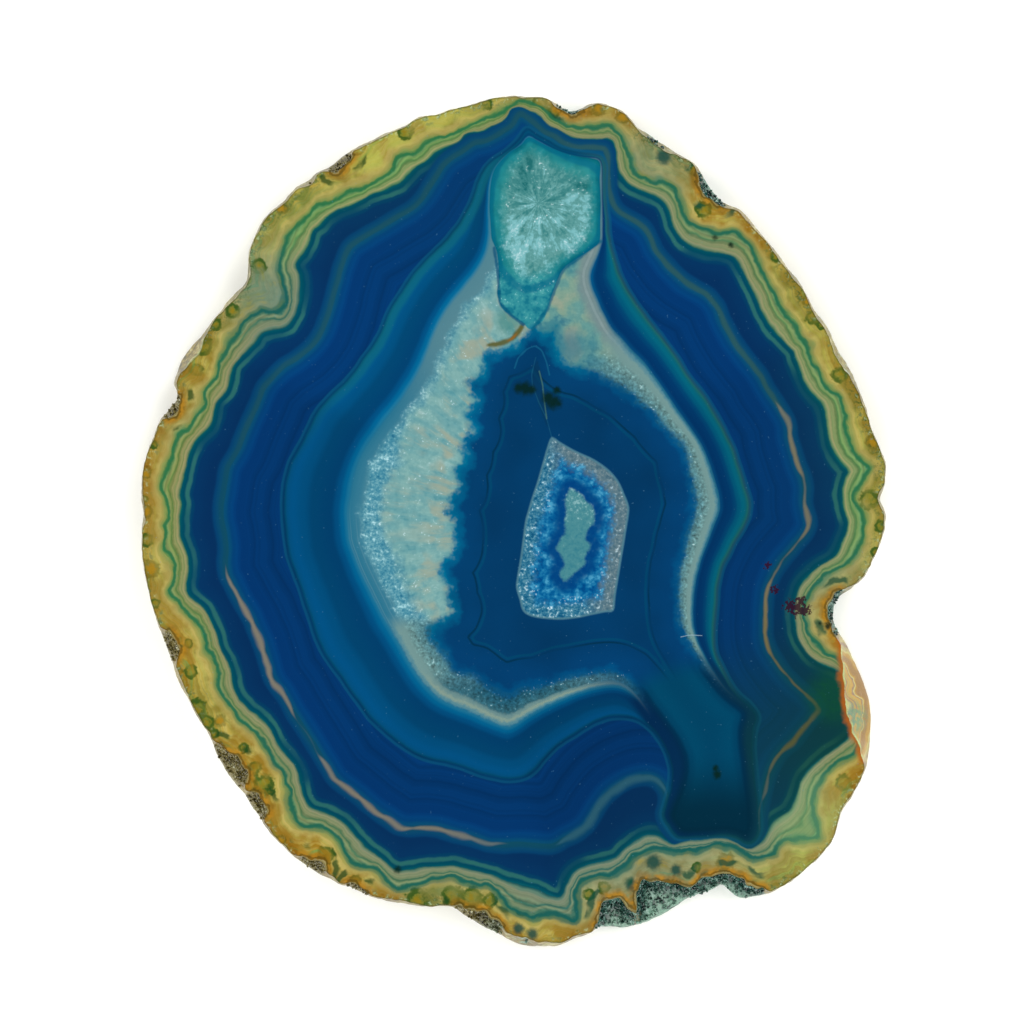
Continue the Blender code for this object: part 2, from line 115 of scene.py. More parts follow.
# Marks along the rim: a place near the outline, how far in from it the polished face stops there, and
# how much of the wall is a crystal-lined hollow (drusy) or a chip (chipped), each from 0 to 1.
RIM_MARKS = [
    (-0.3, 62.5, 0.4, 0, 0), (-13.6, 59.5, 0.45, 0, 0), (-20.1, 56.6, 0.7, 0.1, 0),
    (-23.6, 54.7, 0.5, 0, 0), (-24.6, 54, 1.4, 1, 0), (-26.4, 52.7, 1.8, 1, 0), (-28.3, 51.7, 0.6, 0.2, 0),
    (-30, 50.2, 1.1, 0.5, 0), (-31.9, 49.1, 0.6, 0, 0), (-38.9, 39.4, 0.45, 0, 0),
    (-40.6, 34.1, 0.9, 0.2, 0), (-44, 29.8, 0.5, 0, 0), (-45.6, 27.7, 0.8, 0, 0.6),
    (-47.3, 25.8, 1.9, 0.1, 0.8), (-48.9, 23.6, 1.6, 0, 0.7), (-49.8, 21, 0.8, 0, 0.3),
    (-49.5, 19, 0.5, 0.4, 0), (-49.7, 17.8, 1.1, 1, 0), (-50.8, 16.6, 1.6, 1, 0),
    (-51.8, 15.1, 0.5, 0.2, 0), (-54.5, 6.4, 0.35, 0, 0), (-54.5, 1.2, 0.7, 0.5, 0),
    (-54.6, -4.6, 0.4, 0, 0), (-53.4, -11.8, 0.45, 0, 0), (-52.2, -15.4, 0.6, 0.1, 0),
    (-51.5, -17.3, 1.7, 1, 0), (-50.8, -19.2, 2.1, 1, 0), (-49.9, -21.6, 0.8, 0.3, 0),
    (-48.6, -24.7, 0.7, 0, 0.1), (-46.2, -29.2, 0.5, 0, 0), (-44.6, -31.8, 0.6, 0.2, 0),
    (-43.9, -33.8, 1.6, 0.8, 0), (-42.6, -36.1, 3.1, 1, 0), (-41.2, -38.1, 2.8, 0.9, 0),
    (-40, -39.8, 0.9, 0.3, 0), (-39, -41.2, 2, 0.9, 0), (-37.9, -42.8, 2.2, 1, 0),
    (-36.9, -44.4, 0.8, 0.3, 0), (-35, -46.7, 0.45, 0, 0), (-32.6, -48.9, 0.5, 0.1, 0),
    (-31.2, -50.2, 1.4, 0.8, 0), (-29.2, -51.6, 2.1, 1, 0), (-27.4, -52.5, 1.1, 0.4, 0),
    (-25.4, -53.3, 0.5, 0.1, 0), (-23.7, -54, 1.2, 0.9, 0), (-22.2, -54.6, 1.1, 0.9, 0),
    (-20.6, -55.2, 0.45, 0.1, 0), (-16.6, -56.2, 0.7, 0.2, 0), (-12, -56.6, 0.4, 0, 0),
    (-9.4, -56.7, 0.6, 0.4, 0), (-7.6, -57.7, 1.4, 0.9, 0), (-5.4, -59.1, 2.2, 1, 0),
    (-3.4, -60.2, 1.9, 0.8, 0), (-1.2, -61.2, 1.1, 0.3, 0), (1.6, -62.3, 1.5, 0.5, 0),
    (4.4, -62.6, 1.1, 0.2, 0), (7.6, -62, 0.6, 0, 0), (11.6, -60.4, 0.5, 0, 0), (12.6, -59.8, 1.2, 0.8, 0),
    (13.8, -59.7, 4.3, 1, 0), (15.6, -59.7, 4.9, 1, 0), (17.2, -59.7, 3.1, 0.9, 0),
    (18.6, -59.3, 2.3, 0.6, 0), (20, -58.9, 5.2, 1, 0), (21.6, -58.1, 6.4, 1, 0), (23.4, -57, 5.2, 1, 0),
    (25.2, -55.9, 3.3, 1, 0), (26.8, -55.2, 1.7, 0.7, 0), (28.3, -54.8, 2.6, 1, 0),
    (30.3, -53.7, 2.3, 1, 0), (32.6, -54.9, 2.7, 1, 0), (34.6, -55.4, 2.2, 1, 0), (36.6, -55, 1.5, 0.8, 0),
    (37.8, -54.6, 0.5, 0.1, 0), (44, -50.4, 0.5, 0, 0), (50.6, -39.2, 0.5, 0, 0),
    (51.8, -36.3, 0.6, 0, 0.3), (52.4, -33.6, 1.6, 0, 1), (52.6, -30.6, 3, 0, 1), (52.5, -27.4, 3.8, 0, 1),
    (52, -24.7, 3.7, 0, 1), (51, -22.3, 2.9, 0, 1), (49.8, -19.8, 1.9, 0, 1), (48.6, -17.4, 1, 0.3, 0.6),
    (47.5, -15.3, 0.9, 0.7, 0.1), (47.2, -13.6, 1.3, 0.9, 0), (47.9, -11.6, 1.3, 0.9, 0),
    (49.6, -10.1, 0.6, 0.3, 0), (52.6, -6.4, 0.45, 0, 0), (54.4, 1.4, 0.5, 0.1, 0),
    (54.1, 3.3, 0.8, 0.4, 0), (54.6, 5.4, 0.45, 0, 0), (52.4, 15, 0.45, 0, 0), (50.2, 21, 0.8, 0.3, 0.1),
    (48.4, 24.4, 1.1, 0.4, 0.1), (46.8, 27.4, 0.8, 0.2, 0.1), (43.2, 33.2, 0.45, 0, 0),
    (40.9, 36.7, 0.7, 0.1, 0.1), (37, 41.6, 0.6, 0, 0.1), (32.4, 46.4, 0.9, 0.2, 0),
    (30.6, 47.4, 1.3, 0.8, 0), (29, 49.3, 1.7, 1, 0), (27.8, 51, 0.9, 0.6, 0), (26, 53, 0.5, 0.1, 0),
    (22.4, 55.3, 1.1, 0.5, 0), (20.4, 56.6, 1, 0.5, 0), (18.2, 58, 0.6, 0.3, 0), (13, 61.4, 0.45, 0, 0),
    (10.4, 61.1, 0.7, 0.5, 0), (8.7, 60.4, 0.9, 0.8, 0), (7, 61, 0.8, 0.6, 0), (5.2, 62, 0.4, 0, 0),
]

# Three forms of the wall, from the resting face up to the polished face. Each pair is a share of the
# way in from the outline to the edge of the polished face, and a share of the thickness.
SKIN_WALL = [
    (0.9, 0), (0.3, 0.06), (0, 0.2), (0, 0.36), (0.12, 0.52), (0.3, 0.67), (0.52, 0.81), (0.75, 0.93),
    (1, 1),
]
DRUSY_WALL = [
    (0.1, 0), (0.02, 0.08), (0, 0.2), (0.1, 0.33), (0.34, 0.41), (0.58, 0.49), (0.8, 0.62), (0.94, 0.82),
    (1, 1),
]
CHIP_WALL = [
    (0.08, 0), (0, 0.07), (0, 0.16), (0.18, 0.27), (0.38, 0.4), (0.58, 0.54), (0.76, 0.68), (0.92, 0.8),
    (1, 1),
]
LEVELS = len(SKIN_WALL)
FIRST_SLOPE_LEVEL = 3     # the wall's slope starts here, above its upright foot

# Places read from the photograph, in millimetres of the part's frame, anticlockwise from the top.
GREEN_LINE = [
    (0.5, 61.3), (-1.8, 59.9), (-4.6, 58.3), (-7.8, 57.2), (-10.1, 56.2), (-12.5, 55.6), (-14.5, 53.9),
    (-17, 53.3), (-18.3, 51), (-21.6, 49), (-25.2, 47.7), (-28, 46.3), (-30.3, 44.4), (-32.6, 42.2),
    (-33.7, 39), (-34.2, 36.8), (-33.2, 34), (-33.4, 32.2), (-34.2, 30.8), (-35.5, 30.3), (-37, 30.8),
    (-39.3, 29.2), (-41.1, 26.6), (-42.5, 23.8), (-43.4, 21), (-45.2, 18.9), (-45.8, 16.1), (-47.5, 13.8),
    (-49.4, 11.5), (-50.5, 8.1), (-51.5, 5.1), (-50.6, 2), (-50.7, -3.3), (-49.6, -7.5), (-49.8, -10.7),
    (-47.8, -13.1), (-45.5, -15.4), (-44.7, -18.4), (-43.2, -21.5), (-42.8, -24.6), (-40.8, -27.4),
    (-39.1, -29.7), (-36.9, -31.7), (-35.3, -34.5), (-33.6, -36.5), (-32.7, -39), (-32.5, -41),
    (-32, -43.2), (-31.4, -44.3), (-30.4, -44.7), (-29, -44.5), (-27.5, -44.8), (-26, -45.7), (-25, -46.9),
    (-24.4, -48.3), (-23.6, -49.8), (-22, -50.3), (-20.3, -50.7), (-19.2, -51.8), (-18.2, -53),
    (-16.6, -53.5), (-14, -53.1), (-11.5, -52.3), (-9.5, -51.9), (-8, -52.1), (-7, -52.7), (-5.5, -53.2),
    (-3.7, -53.4), (-2.5, -54.2), (-1.7, -55.3), (-0.7, -56.5), (0.7, -57), (1.9, -57.6), (2.9, -58),
    (4, -57.6), (5.5, -57.4), (7.4, -57.7), (8.6, -58.2), (9.2, -57.8), (9.2, -56), (9.3, -54),
    (9.9, -52.9), (11.4, -51.9), (13.4, -51.7), (15, -51.4), (16, -50.7), (17, -49.6), (18.6, -48.5),
    (20.5, -47.6), (22, -47.8), (23.5, -48.1), (25.4, -48), (27.5, -47.8), (30, -47.4), (32, -47.5),
    (33.3, -48.3), (34.6, -48.9), (36.2, -48.9), (37.9, -48.5), (38.6, -47.6), (39.4, -46.9), (41.2, -46.4),
    (43, -46.5), (44.5, -46.3), (44.6, -45.2), (44.1, -43.6), (43.9, -41.4), (44.2, -39.6), (44.7, -38.2),
    (45.5, -37), (46.7, -36), (48.2, -35), (49.8, -33.6), (51, -31), (51.2, -27.5), (50.4, -24.4),
    (49, -21.4), (47.2, -19.9), (45.5, -19), (44, -18), (43.1, -16.8), (42.6, -15), (42.5, -13.2),
    (42.9, -11.8), (43.5, -10.4), (44.5, -9), (45.7, -7.8), (47, -6.9), (48.7, -6.2), (49.8, -5),
    (50.7, -3.5), (51.1, -2), (51.3, 0), (50.7, 1.8), (50.1, 3.5), (50.4, 5.1), (51.3, 6.5), (52.2, 7.9),
    (51, 8.8), (49.8, 10.1), (49, 12), (48.4, 14), (48.3, 16), (47.8, 17.9), (46.6, 19), (45.4, 20),
    (44.8, 21.5), (43.8, 23), (43.3, 24.5), (43.1, 25.8), (42, 27.1), (41, 28.6), (40, 30.2), (38.7, 32.2),
    (38.2, 33.8), (37, 35.8), (36, 37.5), (35, 39.5), (33.5, 41.3), (32.3, 42.1), (30, 42.1), (27, 42.8),
    (25.5, 44.2), (24.6, 46), (24, 48.3), (23, 49.2), (21, 49.6), (19, 50.3), (17.7, 51.3), (17, 53),
    (16.3, 54.9), (15.3, 56.8), (14.2, 58), (12.2, 57.6), (9.6, 57.6), (7.6, 58.3), (6, 59), (4.4, 60.4),
    (2.6, 61.2),
]
TEAL_EDGE = [
    (0.5, 60.5), (-0.3, 60.2), (-0.8, 59.3), (-1.5, 58.5), (-3, 57.8), (-4.5, 57), (-6.8, 56.7),
    (-7.8, 55.7), (-9.4, 54.8), (-11.3, 53.8), (-12.7, 52.6), (-14.4, 51.6), (-15.4, 50.4), (-16.8, 49.2),
    (-18.8, 48.3), (-21, 47.6), (-23.5, 46.2), (-25.5, 45.6), (-27, 44.6), (-28.2, 43.2), (-29.2, 42.5),
    (-29.7, 40.9), (-30.4, 39.4), (-31.4, 38), (-31.7, 37.2), (-31.2, 36), (-31, 34.4), (-31.1, 32.6),
    (-31.5, 31), (-32.3, 29.2), (-33.4, 28.3), (-35.4, 27.8), (-36.8, 27.2), (-37.5, 26.2), (-38.5, 25.2),
    (-39.8, 24), (-40.8, 22.5), (-41.2, 21), (-41.6, 19.5), (-42.5, 18.3), (-43.4, 17.4), (-43.6, 16),
    (-43.9, 14.8), (-44.6, 13.4), (-45.8, 12.3), (-46.8, 10.8), (-47.6, 8.8), (-48.1, 6.4), (-48.6, 4),
    (-48.3, 2.4), (-48.6, 0), (-48.5, -2.3), (-47.9, -3.7), (-47.4, -5.6), (-47.5, -8), (-47.7, -9.3),
    (-47.4, -10.6), (-46.5, -11.6), (-45.4, -12.5), (-44.5, -13.8), (-43.7, -15.4), (-43.1, -17.2),
    (-42.6, -19), (-41.7, -20.5), (-41.1, -22.2), (-40.8, -24.2), (-40.1, -25.7), (-39.2, -26.7),
    (-38.4, -27.6), (-37.2, -28.3), (-36, -29.5), (-35.1, -31), (-34.1, -32.8), (-32.9, -34.4),
    (-31.9, -35.7), (-31.3, -37), (-30.9, -38.5), (-30.6, -39.9), (-30, -41.2), (-29.2, -41.9),
    (-27.6, -42.4), (-26, -43.2), (-24.5, -44.1), (-23.5, -45.3), (-22.2, -46.7), (-20.8, -48.1),
    (-19, -49.3), (-17.8, -50.4), (-16.6, -51), (-15, -50.7), (-12, -50.4), (-9, -50.2), (-7, -50.6),
    (-5.3, -51.1), (-3, -51.6), (-1, -52.4), (1, -52.9), (3.5, -53.6), (5.3, -54.5), (6.7, -54.9),
    (7.3, -54.2), (7.8, -52.9), (8.6, -51.4), (9.8, -50.5), (11.5, -49.9), (13.4, -49.5), (14.7, -49.1),
    (15.6, -48.4), (16.6, -47.4), (18, -46.4), (19.6, -45.7), (21, -45.8), (22.3, -46.5), (23.5, -47.1),
    (25, -46.7), (27, -46.5), (29, -46.3), (31, -46.3), (32.3, -46.8), (33.3, -47.4), (34.4, -47.8),
    (35.6, -47.3), (36.6, -46.3), (37.3, -44.8), (38.2, -43.6), (39.5, -42.8), (40.6, -41.8), (41.2, -40.5),
    (41.7, -39), (42.2, -37.5), (43.1, -36.2), (44.4, -35), (45.9, -34), (47.3, -33), (48.6, -31.9),
    (49.6, -30.4), (50.1, -28), (49.8, -25.4), (49, -23.3), (47.5, -21.9), (45.8, -21.3), (44.2, -20.4),
    (43, -19.3), (41.9, -17.8), (41.3, -16.2), (41.1, -14.4), (41.1, -12.6), (41.3, -11), (41.9, -9.4),
    (42.8, -8.1), (44, -7), (45.4, -6.1), (46.6, -5.4), (47.4, -4.4), (47.9, -3.2), (48.6, -1.8),
    (48.9, -0.4), (48.6, 0.6), (48.2, 1.9), (48, 3.5), (48.1, 5), (48.4, 6.3), (48.9, 7.3), (48.1, 8),
    (47.3, 9), (46.7, 10.3), (46.1, 12), (45.8, 13.6), (45.7, 15), (45.4, 16.3), (44.8, 17.4), (43.8, 18.4),
    (42.9, 19.7), (42.2, 21.1), (41.6, 22.6), (41.2, 23.8), (40.9, 24.8), (40.2, 25.6), (39.1, 26.7),
    (38, 27.8), (37, 29.3), (36.2, 30.8), (35.6, 32.3), (34.8, 33.9), (34, 35.5), (33.3, 37), (32.6, 38.2),
    (31.7, 38.9), (30.2, 39.2), (28.5, 39.4), (27, 39.8), (25.6, 40.4), (24.5, 41.3), (23.6, 42.6),
    (23, 44), (22.6, 45.3), (22, 46.5), (21.2, 47.2), (20, 47.8), (18.6, 48.3), (17.2, 49), (16, 50.1),
    (15.3, 51.4), (15, 53), (14.9, 54.4), (14.4, 55.6), (13.6, 56), (12, 55.8), (10, 55.9), (8.5, 56.1),
    (7.4, 56.7), (6.5, 57.3), (5.4, 57.7), (4.7, 58.3), (4, 59), (3.1, 59.6), (2, 60.2), (1.2, 60.5),
]
STREAK = [
    (0.7, 59.9), (0.1, 59.3), (-0.3, 58.5), (-1, 57.8), (-2.2, 57.1), (-3.6, 56.3), (-4.8, 55.9),
    (-5.9, 55.7), (-7.2, 54.8), (-8.4, 54), (-9.5, 53.3), (-10.6, 52.2), (-11.8, 50.4), (-12.9, 48.6),
    (-13.8, 47.3), (-15.2, 46), (-17, 45), (-18.6, 44), (-20.2, 43), (-22, 42), (-23.9, 40.7),
    (-24.8, 39.3), (-25.5, 37.5), (-26, 35.8), (-26.5, 34), (-27, 32), (-27.6, 30), (-28.4, 28),
    (-29.4, 26.4), (-30.6, 25.2), (-32.2, 24), (-34, 22.8), (-35.6, 21.3), (-36.8, 19.8), (-37.5, 18.2),
    (-38.2, 16.5), (-39, 14.8), (-39.8, 12.8), (-40.5, 11), (-41.3, 9.5), (-42.1, 8), (-42.5, 6),
    (-42.8, 4), (-43.1, 2), (-43, 0), (-42.6, -2), (-42.4, -4), (-42.5, -6), (-42.3, -7.9), (-41.6, -9.3),
    (-41, -10.5), (-40.3, -11.8), (-39.4, -13.3), (-38.6, -14.8), (-38, -16.3), (-37.3, -17.8),
    (-36.8, -19.3), (-36.3, -21), (-35.9, -22.5), (-35.2, -23.9), (-34.2, -25.2), (-33.3, -26.7),
    (-32.5, -28.2), (-31.6, -29.6), (-30.5, -31.3), (-29.3, -33.2), (-28.3, -34.9), (-27.4, -36.3),
    (-26.5, -37.7), (-25.3, -38.8), (-24, -39.8), (-22.7, -40.8), (-21.4, -41.9), (-20.1, -42.9),
    (-18.7, -43.8), (-17.2, -44.8), (-16, -45.2), (-14.9, -45.3), (-13, -45.2), (-11, -45.4), (-9, -46),
    (-7, -46.5), (-5, -47.1), (-3.5, -47.6), (-1.5, -47.7), (1, -47.6), (3, -47.7), (5, -47.9),
    (6.5, -47.6), (8, -46.7), (9.5, -46), (11, -44.8), (12, -43.3), (13, -41.7), (14.2, -40.2), (15.7, -39),
    (17.3, -38.2), (18.9, -37.8), (20.4, -38), (21.4, -38.8), (22, -40), (21.9, -41.5), (21.6, -43),
    (22.2, -44.4), (23, -45.6), (24.1, -46.4), (27, -46.25), (30, -46.1), (32.1, -46.4), (34.3, -47.3),
    (35.6, -46.8), (36.3, -45.6), (36.3, -44), (36.5, -42.4), (36.9, -40.5), (37.3, -38.7), (37.8, -37),
    (38.6, -35.3), (39.8, -33.7), (41.2, -32.5), (42.4, -31), (43.5, -29.5), (44.5, -28.4), (45, -27.7),
    (44.6, -26.6), (43.5, -25.3), (42.2, -24.1), (40.8, -22.8), (39.6, -21.4), (38.5, -19.8), (37.6, -18.2),
    (37.2, -16.5), (37.2, -14.5), (37.3, -12.5), (37.5, -10.5), (38, -8.8), (38.8, -7.2), (40, -5.6),
    (41.2, -4.2), (42.4, -2.8), (43.3, -1.6), (43.7, -0.3), (43.2, 1.5), (43, 3), (43.1, 5), (42.8, 6.6),
    (42.2, 8), (41.7, 9.4), (41.2, 11), (40.8, 12.5), (40.7, 14), (40.3, 15.2), (39.5, 16.6), (38.4, 18.3),
    (37.4, 19.8), (36.5, 21.5), (35.2, 23.2), (33.9, 24.8), (32.8, 26.3), (31.9, 27.8), (31, 29.5),
    (30.4, 31), (29.8, 32.2), (28.7, 33.4), (27, 34.4), (25.2, 35.5), (23.7, 36.8), (22.5, 38.2),
    (21.3, 39.8), (20.6, 41.2), (19.9, 42.6), (18.9, 43.7), (17.4, 44.6), (15.9, 45.5), (15, 46.6),
    (14.5, 48), (14.3, 50), (14.2, 52), (14.1, 53.7), (13.6, 54.8), (12.4, 55.1), (11, 55.1), (9, 55.2),
    (7.5, 55.7), (6.3, 56.6), (5, 57.2), (4, 58), (3, 58.9), (2, 59.6), (1.3, 60),
]
PALE_LINE = [
    (2, 57.3), (1.2, 56.3), (0, 54.9), (-1.3, 53.8), (-2.8, 52.9), (-4, 51.6), (-4.9, 50), (-5.6, 48),
    (-6.4, 46), (-7.5, 44), (-8.8, 42.2), (-10.2, 40.6), (-12, 38.9), (-13.8, 37), (-15.3, 35), (-16.6, 33),
    (-17.7, 31.2), (-18.6, 29.4), (-19.4, 27.5), (-20.4, 25.7), (-21.6, 24), (-23, 22), (-24.4, 20.4),
    (-26.1, 18.8), (-27.8, 17.2), (-29, 15.5), (-30, 13.3), (-31.2, 11), (-32.3, 9), (-33, 7), (-33.4, 5),
    (-33.5, 3), (-33.5, 1), (-33.3, -1.5), (-33, -4), (-32.6, -5.6), (-31.9, -7.5), (-31.2, -9.5),
    (-30.5, -11.5), (-29.9, -13.2), (-29.3, -15), (-28.6, -17), (-27.8, -18.9), (-26.6, -20.8),
    (-25.3, -22.5), (-24.2, -24.2), (-22.8, -26.1), (-21.4, -28), (-20, -29.6), (-18.4, -31),
    (-16.8, -32.3), (-15.3, -33.3), (-13.6, -34.2), (-11.5, -34.9), (-9.5, -35.3), (-7.3, -35.9),
    (-5, -36.8), (-3, -37.3), (-0.5, -37.7), (1.5, -37.4), (3, -36.4), (4.3, -35), (5.5, -33.6), (7, -32.4),
    (8.8, -31.2), (10.6, -30.1), (12, -29.3), (13.5, -28.8), (15.2, -28.5), (17, -28.6), (18.7, -29.2),
    (20.1, -30.2), (21.2, -31.6), (22, -33), (22.7, -34.6), (23.1, -36.3), (23.1, -38), (22.8, -39.7),
    (22.3, -41.4), (22, -43), (22.7, -44.5), (23.7, -45.8), (24.8, -46.2), (28, -46.1), (31, -45.9),
    (32.6, -46.2), (34.2, -47), (35.3, -46.5), (35.9, -45), (35.9, -42.5), (35.7, -40), (35.4, -37.5),
    (35.2, -35), (35.1, -32.5), (35.3, -30.3), (35.7, -28.6), (34.5, -26.8), (33.1, -25.5), (31.9, -24),
    (30.9, -22.3), (30.1, -20.6), (29.5, -19), (29.3, -17), (29.4, -15), (29.6, -12.5), (29.8, -10),
    (30.1, -8), (30.8, -6), (31.7, -4.2), (32.6, -2.5), (33.6, -0.9), (34.2, 0.5), (34.5, 2), (34.2, 4),
    (33.6, 6), (32.9, 8), (32.2, 10.3), (31.2, 12.5), (30.2, 14.5), (29, 16.5), (27.8, 18.3), (26.5, 20),
    (25.2, 21.8), (24, 23.7), (22.7, 25.5), (21.2, 27.5), (19.8, 29.3), (18.5, 31), (17.4, 32.6),
    (16.4, 34.3), (15.5, 36.2), (14.8, 38.3), (14.2, 40.3), (13.9, 42), (13.7, 44.5), (13.4, 47),
    (13.3, 49.5), (13.3, 51.5), (13, 53), (12.2, 53.5), (10.5, 53.7), (8.6, 54), (6.8, 54.6), (5.2, 55.5),
    (3.6, 56.3), (2.7, 56.9),
]
QUARTZ_EDGE = [
    (2.2, 56.2), (1, 55), (-0.4, 53.9), (-2, 52.5), (-3, 50.8), (-3.5, 48.5), (-3.6, 46), (-3.5, 43.5),
    (-3.6, 41.3), (-4.1, 39.2), (-5.5, 36.6), (-7.3, 34.3), (-9.2, 32), (-10.5, 30), (-11.5, 28),
    (-12.3, 26), (-13.1, 24), (-14, 22), (-15.2, 20), (-16.5, 18), (-17.8, 16.4), (-19, 14.9),
    (-20.3, 13.1), (-21.7, 11), (-22.7, 9), (-23.5, 6.5), (-24, 4), (-24.3, 2), (-24.3, 0), (-24, -3),
    (-23.2, -5.3), (-22.4, -7.3), (-21.3, -9.6), (-20.1, -12), (-18.9, -14.4), (-17.6, -16.5),
    (-16.5, -18.4), (-15.5, -20.3), (-14.3, -22.3), (-13, -24), (-11.5, -25.5), (-10, -26.5), (-8, -27.4),
    (-6, -28.2), (-4, -29.1), (-2, -29.9), (-0.8, -30.2), (0.3, -29.8), (1.8, -28.8), (3.5, -27.8),
    (5.3, -26.9), (7.3, -26), (9.3, -25.2), (11.5, -24.6), (13.5, -24.2), (15.3, -24.2), (16.7, -24.8),
    (18, -26), (19.2, -27.6), (20.3, -29.3), (21.5, -31.2), (22.6, -33.2), (23.4, -35.2), (23.7, -37),
    (23.5, -38.8), (22.9, -41), (22.4, -43), (23.1, -44.5), (24.2, -45.7), (25.3, -46), (28, -45.9),
    (31, -45.7), (32.6, -46), (34.2, -46.8), (35, -46.3), (35.5, -45), (35.5, -42.5), (35.2, -39.6),
    (34.8, -36.4), (34.4, -33.2), (34.4, -30.5), (34.9, -28.4), (33.8, -26.8), (32.5, -25.6), (31.2, -24.4),
    (30, -22.9), (28.8, -21.1), (27.8, -19.4), (27, -17.7), (26.4, -15.9), (26.2, -14), (26.2, -12),
    (26.4, -10), (26.8, -8), (27.3, -6), (28, -4), (28.7, -2), (29.3, -0.4), (29.8, 0.8), (30.1, 2.2),
    (29.9, 4), (29.4, 6), (28.6, 8.5), (27.8, 10.5), (26.5, 12.7), (25, 14.8), (23.5, 16.9), (22, 19.2),
    (20.5, 21.3), (19, 23.2), (17.4, 24.8), (16, 26.4), (14.5, 28), (13.2, 30.2), (12.3, 32.2), (11.5, 34),
    (11.2, 36), (11.7, 37.6), (12.5, 39.4), (13, 41.5), (13, 44), (12.9, 47), (12.9, 50), (12.8, 52.2),
    (12.2, 53), (10.5, 53.1), (8.6, 53.4), (6.6, 54), (4.8, 54.9), (3.2, 55.7),
]
CORE_EDGE = [
    (2.4, 28), (1.2, 26.9), (-0.2, 25.9), (-1.8, 25.3), (-3.5, 24.8), (-4.7, 24), (-4.7, 22.5), (-5, 21.5),
    (-6, 20.9), (-6.8, 20.2), (-6.3, 18.7), (-5.6, 17.8), (-6.3, 16.7), (-6.9, 15.5), (-6.5, 14.2),
    (-6.1, 13.2), (-7.2, 12), (-7.8, 11), (-7.3, 10), (-7.5, 9), (-8.3, 8.2), (-8.7, 7.3), (-8.2, 6.2),
    (-8, 5), (-8.5, 4), (-9.7, 3.2), (-9.3, 2), (-10.2, 1.4), (-9.2, 0.7), (-8.8, -0.6), (-8.7, -3),
    (-9, -4.5), (-10, -5.5), (-10.8, -6.3), (-10.9, -7.5), (-10.2, -8.7), (-9.6, -9.8), (-9.9, -10.8),
    (-9.5, -12), (-8.9, -12.8), (-9.5, -13.6), (-10.8, -14.3), (-12, -15.3), (-12.4, -16.2), (-11.8, -17.3),
    (-10.9, -18.5), (-10, -19.6), (-9.3, -20.6), (-8.6, -21.7), (-7.4, -22.2), (-5.8, -22.4), (-4.6, -23.3),
    (-3, -24.4), (-1.5, -25.3), (-0.2, -25.5), (0.8, -24.6), (2, -24.3), (3.5, -24.2), (5.3, -23.6),
    (7.3, -23), (9.5, -22.6), (11.5, -22.2), (13.5, -22), (15.2, -22.1), (16.6, -22.8), (17.6, -23.8),
    (18.8, -25.2), (20, -26.9), (21.4, -28.6), (22.8, -30.6), (24, -32.4), (24.8, -34.4), (24.9, -36.4),
    (24.5, -38.4), (23.8, -40.4), (23.1, -42), (22.9, -43.2), (23.6, -44.5), (24.7, -45.5), (26.5, -45.6),
    (29, -45.4), (31, -45.3), (32.6, -45.6), (34, -46.3), (34.7, -45.6), (35, -44), (34.9, -42),
    (34.5, -39), (34.1, -36.4), (33.7, -33.2), (33.6, -30.5), (34, -28.2), (33.2, -27.1), (31.9, -26.1),
    (30.6, -24.9), (29.4, -23.5), (28.2, -21.8), (27.1, -20), (26.2, -18.4), (25.3, -17), (24.8, -16),
    (24.4, -14.6), (24.2, -13), (24.1, -11), (24.1, -9), (24.3, -7), (24.8, -5), (25.2, -3), (25.7, -1.2),
    (26.2, 0.6), (26.6, 2.3), (26.4, 4), (26, 6), (25.6, 7.5), (25.3, 9), (25, 10.5), (24.3, 11.6),
    (23.2, 12.5), (22, 13.8), (21, 15.2), (19.6, 16.4), (18.3, 17.6), (17, 18.8), (15.5, 19.7),
    (14.3, 20.3), (13, 21.2), (11.5, 22), (10, 22.6), (8.5, 23), (7.2, 24), (6.5, 26), (6.2, 28.6),
    (5, 27.6), (3.8, 28.2), (3, 28.6),
]
POCKET = [
    (5.6, 12.4), (4.9, 10.8), (4.3, 8.7), (3.5, 6), (2.7, 3.5), (2.1, 1.5), (1.7, 0), (1.3, -3), (0.9, -6),
    (0.5, -8.3), (0.4, -9.7), (0.9, -11.5), (1.3, -13), (2.3, -13.8), (4, -14.2), (6.5, -14.4), (9, -14.2),
    (11.5, -13.7), (13.5, -13.3), (14.7, -13.1), (15, -11), (15.3, -9), (15.8, -6), (16.3, -3),
    (16.7, -0.5), (17, 1.5), (16.9, 2.5), (16.3, 4), (15.5, 5.8), (14.3, 7.3), (12.8, 8.5), (11.5, 9.3),
    (9.5, 10.2), (8, 11), (6.8, 11.7),
]
TOP_POCKET = [
    (2.2, 56.2), (1, 55), (-0.5, 54), (-2.2, 52.3), (-3, 50.8), (-3.4, 48.5), (-3.5, 46), (-3.3, 43.5),
    (-3.2, 41.5), (-2.6, 40), (-2.3, 38.5), (-2.1, 35), (-2.4, 33.6), (-2, 32), (-1.5, 31), (0, 29.8),
    (1.5, 28.9), (2.4, 28), (3.4, 28.6), (4.5, 29.5), (5, 31), (5.6, 32.8), (6.3, 34.8), (6.9, 36.2),
    (7.6, 37.2), (8.5, 37.9), (10, 38.8), (11.5, 39.8), (12.7, 41), (12.8, 44), (12.8, 47), (12.7, 50),
    (12.7, 52.5), (11.5, 53.1), (9.5, 53.4), (7.5, 53.9), (5.5, 54.7), (3.8, 55.5),
]
